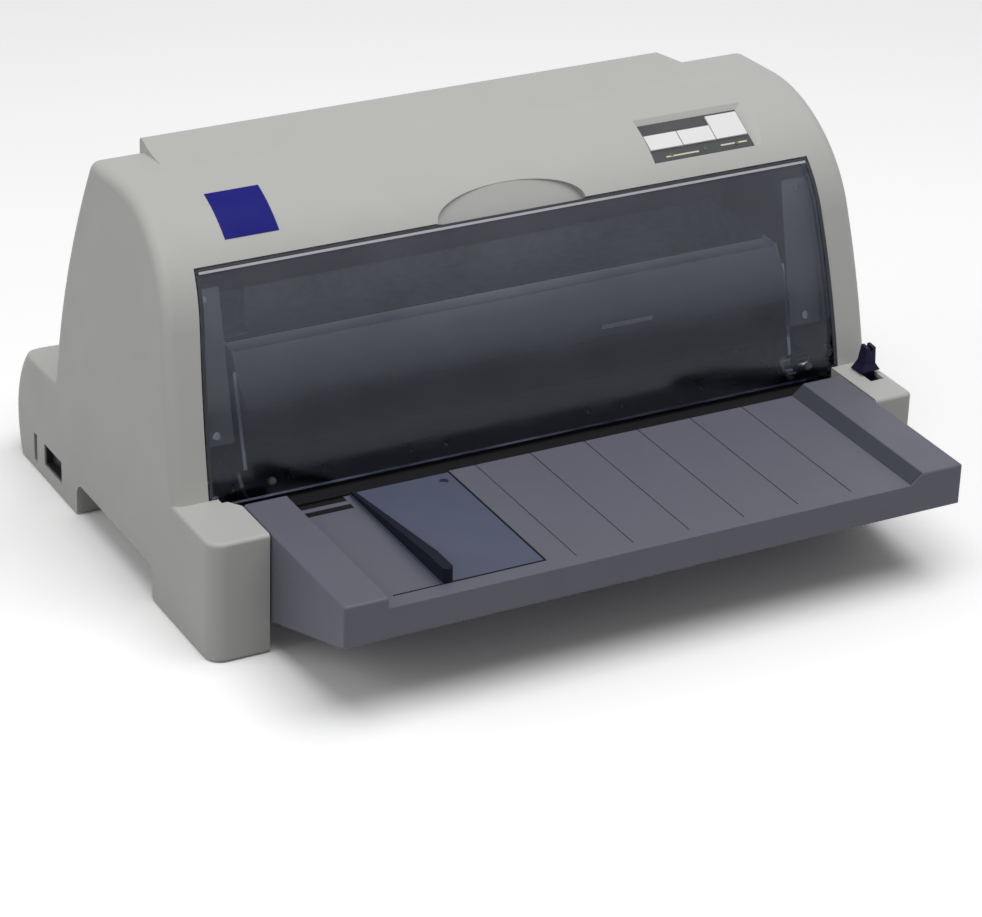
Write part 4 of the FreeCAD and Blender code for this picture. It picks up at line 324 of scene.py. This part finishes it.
# %% [markdown]
# ## Metals
#
# Three metals show through the open covers: turned steel shafts with fine rings, pressed
# zinc-plated sheet with its cloudy crystals, and the cast aluminium head. Rings and
# crystals are mostly differences in roughness and a trace of colour, with only a very
# faint bump, because such metal has almost no relief that the eye can see.

# %% Turned, plated and cast metal
def metal(name, colour, cloud, rough, scale, stretch=(1, 1, 1)):
    finish = Finish(name)
    where = stretched(finish, (0, 0, 0), stretch)
    sockets = {"Vector": where, "Scale": scale}
    crystals = finish.node("ShaderNodeTexVoronoi", {"feature": "SMOOTH_F1"}, sockets,
                           output="Distance")
    rubbed = noise(finish, scale * 3, detail=4.0, where=where)
    shader = finish.node("ShaderNodeBsdfPrincipled", sockets={
        "Base Color": mixed(finish, crystals, shade(*colour), shade(*cloud)),
        "Roughness": rubbed * 0.22 + crystals * 0.1 - 0.15 + rough,
        "Metallic": 1.0,
        "Normal": bumped(finish, rubbed, strength=0.12, distance=0.00004)})
    finishes[name] = finish.show(shader)


metal("steel", (196, 198, 200), (168, 170, 174), 0.3, scale=90.0, stretch=(24, 1, 1))
metal("zinc_steel", (186, 190, 190), (158, 164, 170), 0.42, scale=170.0)
metal("head_aluminium", (176, 176, 178), (150, 150, 154), 0.5, scale=420.0)
print("finishes with metals:", len(finishes))

# %% [markdown]
# ## Smoked and clear plastic
#
# The big cover is smoked acrylic. Real glass shading bends and loses the light on its
# way to the mechanism, so the cover is a Transparent shader tinted like the acrylic,
# mixed with a mirror that gives the reflections at a flat angle. Toward the top the
# mirror grows stronger, a painted sheen with wipe marks in it. The clear guard behind it
# is hazier, and its haze runs from painted shade at the bottom to a painted highlight
# along its upper edge.

# %% See-through finishes
# Heights, in m, where the painted sheen on the cover begins and where it is full.
sheen_starts, sheen_full = 0.085, 0.175


def height_on(finish):
    return finish.node("ShaderNodeSeparateXYZ", sockets={"Vector": place_on(finish)},
                       output="Z")


def smoked(name, tint, painted_sheen_share):
    finish = Finish(name)
    wipe = noise(finish, scale=26.0, detail=4.0)
    # Painted sheen: the mirror is made stronger toward the top, with the wipe marks in it.
    dust_and_painted_sheen = softened(finish, height_on(finish), sheen_starts, sheen_full)
    mirrored = finish.node("ShaderNodeFresnel", sockets={"IOR": 1.4})
    through = finish.node("ShaderNodeBsdfTransparent", sockets={"Color": tint})
    gloss = finish.node("ShaderNodeBsdfPrincipled", sockets={
        "Base Color": mixed(finish, wipe, shade(220, 224, 238), shade(230, 234, 246)),
        "Roughness": softened(finish, wipe, low=0.3, high=0.75) * 0.08 + 0.06,
        "Metallic": 1.0})
    both = finish.node("ShaderNodeMixShader", sockets={
        0: mirrored + (wipe + 0.3) * dust_and_painted_sheen * painted_sheen_share, 1: through, 2: gloss})
    return finish.show(both)


def hazy_with_painted_light(name, low, high):
    finish = Finish(name)
    # Painted light: near black at the bottom (painted shade) to near white along the top
    # (painted highlight).
    painted_light_rise = softened(finish, height_on(finish), low, high)
    mist = noise(finish, scale=34.0, detail=4.0)
    clear = {"Color": shade(225, 228, 230)}
    through = finish.node("ShaderNodeBsdfTransparent", sockets=clear)
    haze = finish.node("ShaderNodeBsdfPrincipled", sockets={
        "Base Color": mixed(finish, painted_light_rise * painted_light_rise, shade(20, 22, 28), shade(246, 245, 246)),
        "Roughness": mist * 0.1 + 0.35})
    both = finish.node("ShaderNodeMixShader", sockets={
        0: painted_light_rise * painted_light_rise * 0.45 + mist * 0.1 + 0.4, 1: through, 2: haze})
    return finish.show(both)


guard_low, guard_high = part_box("inner_guard")
finishes["smoke"] = smoked("smoke", shade(218, 220, 226), painted_sheen_share=0.026)
finishes["clear_guard"] = hazy_with_painted_light("clear_guard", guard_low.z, guard_high.z)
print("finishes:", sorted(finishes))

# %% [markdown]
# ## Give every CAD solid its finish
#
# The frame's materials carry only a plain colour and the slot's name. Each one is swapped
# for the finish of the same name, and the meshes stay as they are. The paper entry plate
# shows only as the dark slot under the cover, so it gets the black of painted shade.

# %% Swap the materials
for node in nodes.values():
    for slot in node.material_slots:
        plain = slot.material.name.split(".")[0]
        slot.material = finishes[plain].material
# Painted shade: the entry plate is made black so the slot under the cover stays dark.
for slot in nodes["paper_entry_plate"].material_slots:
    slot.material = finishes["painted_shade_black"].material
print("solids with a finish:", len(nodes))

# %% [markdown]
# ## Making small pieces
#
# Most of the small things on a printer are flat mouldings, plates and round pegs with
# eased edges. Each starts as an operator's cube or cone at the origin, is scaled, turned
# and moved inside its own mesh, and gets its edges eased by a bevel. The object itself
# stays at the origin and rides on the body that carries it.

# %% Slabs and pegs
MM = 0.001
peg_sides = 48


def piece(name, shape, finish, body):
    mesh = bpy.data.meshes.new(name)
    shape.to_mesh(mesh)
    shape.free()
    mesh.materials.append(finishes[finish].material)
    made = bpy.data.objects.new(name, mesh)
    bpy.context.scene.collection.objects.link(made)
    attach(made, body)
    print("made", name, "on", body, "in", finish)


def eased(shape, edges, edge):
    bmesh.ops.bevel(shape, geom=edges, offset=edge * MM, segments=2, profile=0.5,
                    affect="EDGES", material=-1)


def set_down(shape, place, turn):
    bmesh.ops.transform(shape, matrix=turn or Matrix(), verts=shape.verts)
    bmesh.ops.translate(shape, vec=Vector(place) * MM, verts=shape.verts)


def slab(name, finish, body, size, place, edge, turn=None):
    """A flat moulding of the given size in mm, turned and then set down at its middle."""
    shape = bmesh.new()
    bmesh.ops.create_cube(shape, size=1.0)
    bmesh.ops.scale(shape, vec=Vector(size) * MM, verts=shape.verts)
    eased(shape, shape.edges[:], edge)
    set_down(shape, place, turn)
    piece(name, shape, finish, body)


def peg(name, finish, body, radius, length, place, edge, turn):
    """A round peg along Z in mm, turned and then set down at its middle."""
    shape = bmesh.new()
    bmesh.ops.create_cone(shape, cap_ends=True, segments=peg_sides, radius1=radius * MM,
                          radius2=radius * MM, depth=length * MM)
    rims = [rim for rim in shape.edges if len({round(v.co.z, 6) for v in rim.verts}) == 1]
    eased(shape, rims, edge)
    set_down(shape, place, turn)
    piece(name, shape, finish, body)


def turned(axis, degrees):
    return Matrix.Rotation(math.radians(degrees), 4, axis)


print("small pieces are made in millimetres,", MM, "m each")

# %% [markdown]
# ## The tray's dark slope
#
# Along its right side the bed of the tray ends in a short slope, and in the photograph
# that slope is a dark band, the slope lying in shade. The slope could get a second
# material, but the CAD solid has one slot for the whole tray, so a thin dark strip lies
# on it as painted shade. The strip's front end comes from the tray's box.

# %% Painted shade strip on the tray's slope
tray_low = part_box("paper_tray")[0]
slope_tilt = 40.0
strip_width, strip_thick = 9.4, 0.5
strip_x, strip_z = 174.9, 73.4
bed_back = -66.4
strip_front = tray_low.y / MM + 1.0
# Painted shade: a thin dark strip where the slope lies in shadow.
slab("painted_slope_shade", "painted_shade_slate", "case",
     size=(strip_width, bed_back - strip_front, strip_thick),
     place=(strip_x, (bed_back + strip_front) / 2, strip_z), edge=0.15,
     turn=turned("Y", -slope_tilt))

# %% [markdown]
# ## Dark lines round the edge guide
#
# The guide's pocket has a deep line along its front and its right side, and two slots at
# its back. A darker colour alone would still catch the light, so black strips fill them to
# just under the bed as painted shade, and they read as black from any side.

# %% Painted shade in the guide's lines and in its slots
line_shade_z, slot_shade_z = 68.35, 66.6
slot_shade_x = -149.3
slab("shade_fill_front", "painted_shade_black", "case", size=(95.4, 1.5, 3.0),
     place=(-113.2, -184.2, line_shade_z), edge=0.1)
slab("shade_fill_side", "painted_shade_black", "case", size=(1.5, 117.0, 3.0),
     place=(-66.2, -125.2, line_shade_z), edge=0.1)
slab("shade_fill_under_slots", "painted_shade_black", "case", size=(38.0, 19.0, 1.0),
     place=(-149.0, -75.5, 64.9), edge=0.2)
for name, y in (("back", -68.8), ("front", -77.95)):
    slab("shade_fill_slot_" + name, "painted_shade_black", "case", size=(30.6, 4.8, 2.4),
         place=(slot_shade_x, y, slot_shade_z), edge=0.1)

# %% [markdown]
# ## Small marks behind the smoked cover
#
# Through the smoke a few light things show: a pale line along the clear guard's shelf,
# a painted highlight where its edge catches the light, a white bar on the guard and a
# round peg at each lower corner of the cover. They are what the eye reads as depth behind
# the dark plastic, and at that depth plain slabs and pegs are all that can be made out.

# %% Painted highlight on the guard's edge, bar and pegs
shelf_y, shelf_z = -17.4, 148.7
guard_lean = 12.0
peg_y, peg_z = -48.75, 78.2
slab("guard_edge_highlight", "guard_edge", "case", size=(364.6, 0.9, 1.0),
     place=(0, shelf_y, shelf_z), edge=0.2)
slab("guard_cream_bar", "key_white", "case", size=(35.0, 0.8, 3.2),
     place=(68.5, -36.6, 127.0), edge=0.25, turn=turned("X", guard_lean))
for name, x in (("left", -171.0), ("right", 193.0)):
    peg("corner_peg_" + name, "gear_white", "front_cover_body", radius=2.4, length=2.7,
        place=(x, peg_y, peg_z), edge=0.4, turn=turned("X", 90.0))

# %% [markdown]
# ## Liners beside the mechanism
#
# On both sides the room behind the cover ends in a pale liner of the housing's plastic,
# which hides the side frames. It could be cut from the housing, but as a plate of its own
# it simply leans back with the hood's front. A round screw head sits at either end.

# %% Side liners
liner_x, liner_y, liner_z = 198.5, -22.5, 144.0
liner_lean = turned("X", -13.4)
screw_out, screw_reach = 1.1, 40.0
for name, x in (("left", -liner_x), ("right", liner_x)):
    middle = Vector((x, liner_y, liner_z))
    slab("liner_" + name, "housing_grey", "case", size=(22.0, 1.6, 92.0), place=middle,
         edge=0.5, turn=liner_lean)
    for end, up_slope in (("low", -screw_reach), ("high", screw_reach)):
        spot = middle + liner_lean @ Vector((0, -screw_out, up_slope))
        peg("liner_screw_" + name + "_" + end, "steel", "case", radius=2.6, length=1.4,
            place=spot, edge=0.3, turn=liner_lean @ turned("X", 90.0))

# %% [markdown]
# ## The smoked cover's upper edge
#
# The cover ends under the crown with a soft black seal, and just below it a pale line is
# a painted highlight, where the cover's edge catches the overhead light. Both are thin
# strips on the cover's skin, from side to side, and they swing with the cover. The skin is
# part of a circle here, so one angle on that circle gives each strip its place and its tilt.

# %% Seal and painted edge highlight
crown_axis = Vector((0, 48.9, 151.7))
crown_reach = 81.5
strip_out = 0.05
cover_edge_width = 403.0


def on_crown(angle):
    around = math.radians(angle)
    reach = crown_reach + strip_out
    return crown_axis + Vector((0, -reach * math.cos(around), reach * math.sin(around)))


# The pale edge strip is a painted highlight.
for kind, finish, angle, wide, high in (("seal", "seal_grey", 38.1, 1.3, 0.5),
                                        ("edge", "guard_edge", 36.9, 1.6, 0.35)):
    slab("cover_" + kind, finish, "front_cover_body", size=(cover_edge_width, wide, high),
         place=on_crown(angle), edge=0.1, turn=turned("X", 90 - angle))

# %% [markdown]
# ## Seals down the cover's sides
#
# The same seal runs down both sides of the cover. The hood leans inward toward the top
# and its front is a long arc under the round crown, so each seal starts as a grid whose
# rows are laid along that outline and is then given its thickness. Solidify leaves its
# points and faces in another order at each run, so they are sorted along one slanted
# line, and the mesh comes out the same every time.

# %% Side seals
arc_reach = 1445.36
shoulder_y, shoulder_z = -29.636, 173.48
shoulder_turn = math.radians(15.5)
arc_y = shoulder_y + arc_reach * math.cos(shoulder_turn)
arc_z = shoulder_z - arc_reach * math.sin(shoulder_turn)
side_radius, side_start, side_x = 1166.0, 60.0, 212.0
seal_foot, seal_rise, seal_rows = 77.6, 122.0, 24
seal_inset, seal_width = 0.4, 2.0
seal_out, seal_thick = 0.12, 0.4
sorting_line = Vector((1.0, 37.0, 1409.0))


def cover_front(z):
    if z > shoulder_z:
        return crown_axis.y - math.sqrt(crown_reach ** 2 - (z - crown_axis.z) ** 2)
    return arc_y - math.sqrt(arc_reach ** 2 - (z - arc_z) ** 2)


def cover_side(z):
    return side_x - side_radius + math.sqrt(side_radius ** 2 - (z - side_start) ** 2)


def in_order(shape):
    shape.verts.sort(key=lambda vert: vert.co.dot(sorting_line))
    shape.edges.sort(key=lambda edge: (edge.verts[0].co + edge.verts[1].co).dot(sorting_line))
    shape.faces.sort(key=lambda face: face.calc_center_median().dot(sorting_line))


def side_seal(name, side):
    shape = bmesh.new()
    bmesh.ops.create_grid(shape, x_segments=1, y_segments=seal_rows, size=0.5)
    for vert in shape.verts:
        z = seal_foot + (vert.co.y + 0.5) * seal_rise
        x = cover_side(z) - seal_inset - (vert.co.x + 0.5) * seal_width
        vert.co = Vector((side * x, cover_front(z) - seal_out, z)) * MM
    bmesh.ops.recalc_face_normals(shape, faces=shape.faces)
    bmesh.ops.solidify(shape, geom=shape.faces[:], thickness=seal_thick * MM)
    bmesh.ops.recalc_face_normals(shape, faces=shape.faces)
    in_order(shape)
    piece(name, shape, "seal_grey", "front_cover_body")


side_seal("side_seal_left", -1)
side_seal("side_seal_right", 1)

# %% [markdown]
# ## The control panel's bars
#
# The dark band under the three keys carries two thin light bars beside the lamps. They
# could be printed on with a texture, but a real bar keeps its edge at any distance, and
# there is no lettering to print. The panel is a plane that faces up and forward and
# turns about the crown's axis, so the bars are laid out flat and turned with it.

# %% Bars on the control panel
panel_tilt = turned("X", 29.2)
panel_out = 79.15
bar_height, bar_thick = 1.2, 0.3


def on_panel(x, up_slope):
    return crown_axis + panel_tilt @ Vector((x, up_slope, panel_out))


for name, first_x, last_x, up_slope in (("left", 110.6, 133.4, -14.6),
                                        ("right", 149.5, 168.0, -13.3)):
    slab("panel_bar_" + name, "cream", "case", size=(last_x - first_x, bar_height, bar_thick),
         place=on_panel((first_x + last_x) / 2, up_slope), edge=0.1, turn=panel_tilt)

# %% [markdown]
# ## Floor
#
# The picture is taken in a light tent, and the printer stands on its white floor. A wide
# disc keeps the printer's soft shadow. Only the camera and mirrors see it as white. For
# all other light it is a mid grey, or it would throw light up under the tray.

# %% Floor
floor_radius = 5.0
floor_speck = 3.0


def grey(level):
    return (level, level, level, 1)


floor_mesh = bpy.data.meshes.new("floor")
shape = bmesh.new()
bmesh.ops.create_circle(shape, cap_ends=True, segments=64, radius=floor_radius)
shape.to_mesh(floor_mesh)
shape.free()
floor = bpy.data.objects.new("floor", floor_mesh)
bpy.context.scene.collection.objects.link(floor)
paper_white = Finish("paper_white")
seen = paper_white.node("ShaderNodeLightPath", output="Is Camera Ray")
seen = seen + paper_white.node("ShaderNodeLightPath", output="Is Glossy Ray")
pale = mixed(paper_white, noise(paper_white, floor_speck), grey(1.32), grey(1.3))
dim = mixed(paper_white, seen, grey(0.4), pale)
paper_white.show(paper_white.node("ShaderNodeBsdfDiffuse", sockets={"Color": dim}))
floor_mesh.materials.append(paper_white.material)
print("floor disc, in m:", floor_radius)

# %% [markdown]
# ## Lamps and world
#
# The tent is white all round and brightest overhead. A large lamp hangs above and a
# little in front, a weaker one fills the left side, and the world gives the even light of
# the tent's walls. The camera and mirrors see that world as white, as with the floor. On
# the printer itself it is a dark grey, which leaves it to the lamps to shape the forms.

# %% Lamps and world
printer_middle = Vector((0, 0, 0.1))
tent_light, tent_seen = 0.28, 1


def soft_lamp(name, place, width, height, power):
    data = bpy.data.lights.new(name, "AREA")
    data.shape = "RECTANGLE"
    data.size = width
    data.size_y = height
    data.energy = power
    lamp = bpy.data.objects.new(name, data)
    aim = (printer_middle - Vector(place)).to_track_quat("-Z", "Y")
    lamp.matrix_world = Matrix.Translation(place) @ aim.to_matrix().to_4x4()
    bpy.context.scene.collection.objects.link(lamp)
    print("lamp", name, "with", power, "W")


soft_lamp("overhead", place=(0.1, -0.5, 2.2), width=2.2, height=1.6, power=29.5)
soft_lamp("left_fill", place=(-2.2, 0.3, 1.2), width=1.4, height=1.4, power=9.0)

world = bpy.data.worlds.new("light_tent")
bpy.context.scene.world = world
world.use_nodes = True
tree = world.node_tree
tree.nodes.clear()
path = tree.nodes.new("ShaderNodeLightPath")
white_seen = tree.nodes.new("ShaderNodeMath")
white_seen.operation = "MAXIMUM"
tree.links.new(path.outputs["Is Camera Ray"], white_seen.inputs[0])
tree.links.new(path.outputs["Is Glossy Ray"], white_seen.inputs[1])
both = tree.nodes.new("ShaderNodeMixShader")
tree.links.new(white_seen.outputs[0], both.inputs[0])
for slot, level in ((1, tent_light), (2, tent_seen)):
    wall = tree.nodes.new("ShaderNodeBackground")
    wall.inputs["Color"].default_value = grey(level)
    tree.links.new(wall.outputs[0], both.inputs[slot])
world_output = tree.nodes.new("ShaderNodeOutputWorld")
tree.links.new(both.outputs[0], world_output.inputs[0])
bpy.context.scene.view_settings.view_transform = "Standard"
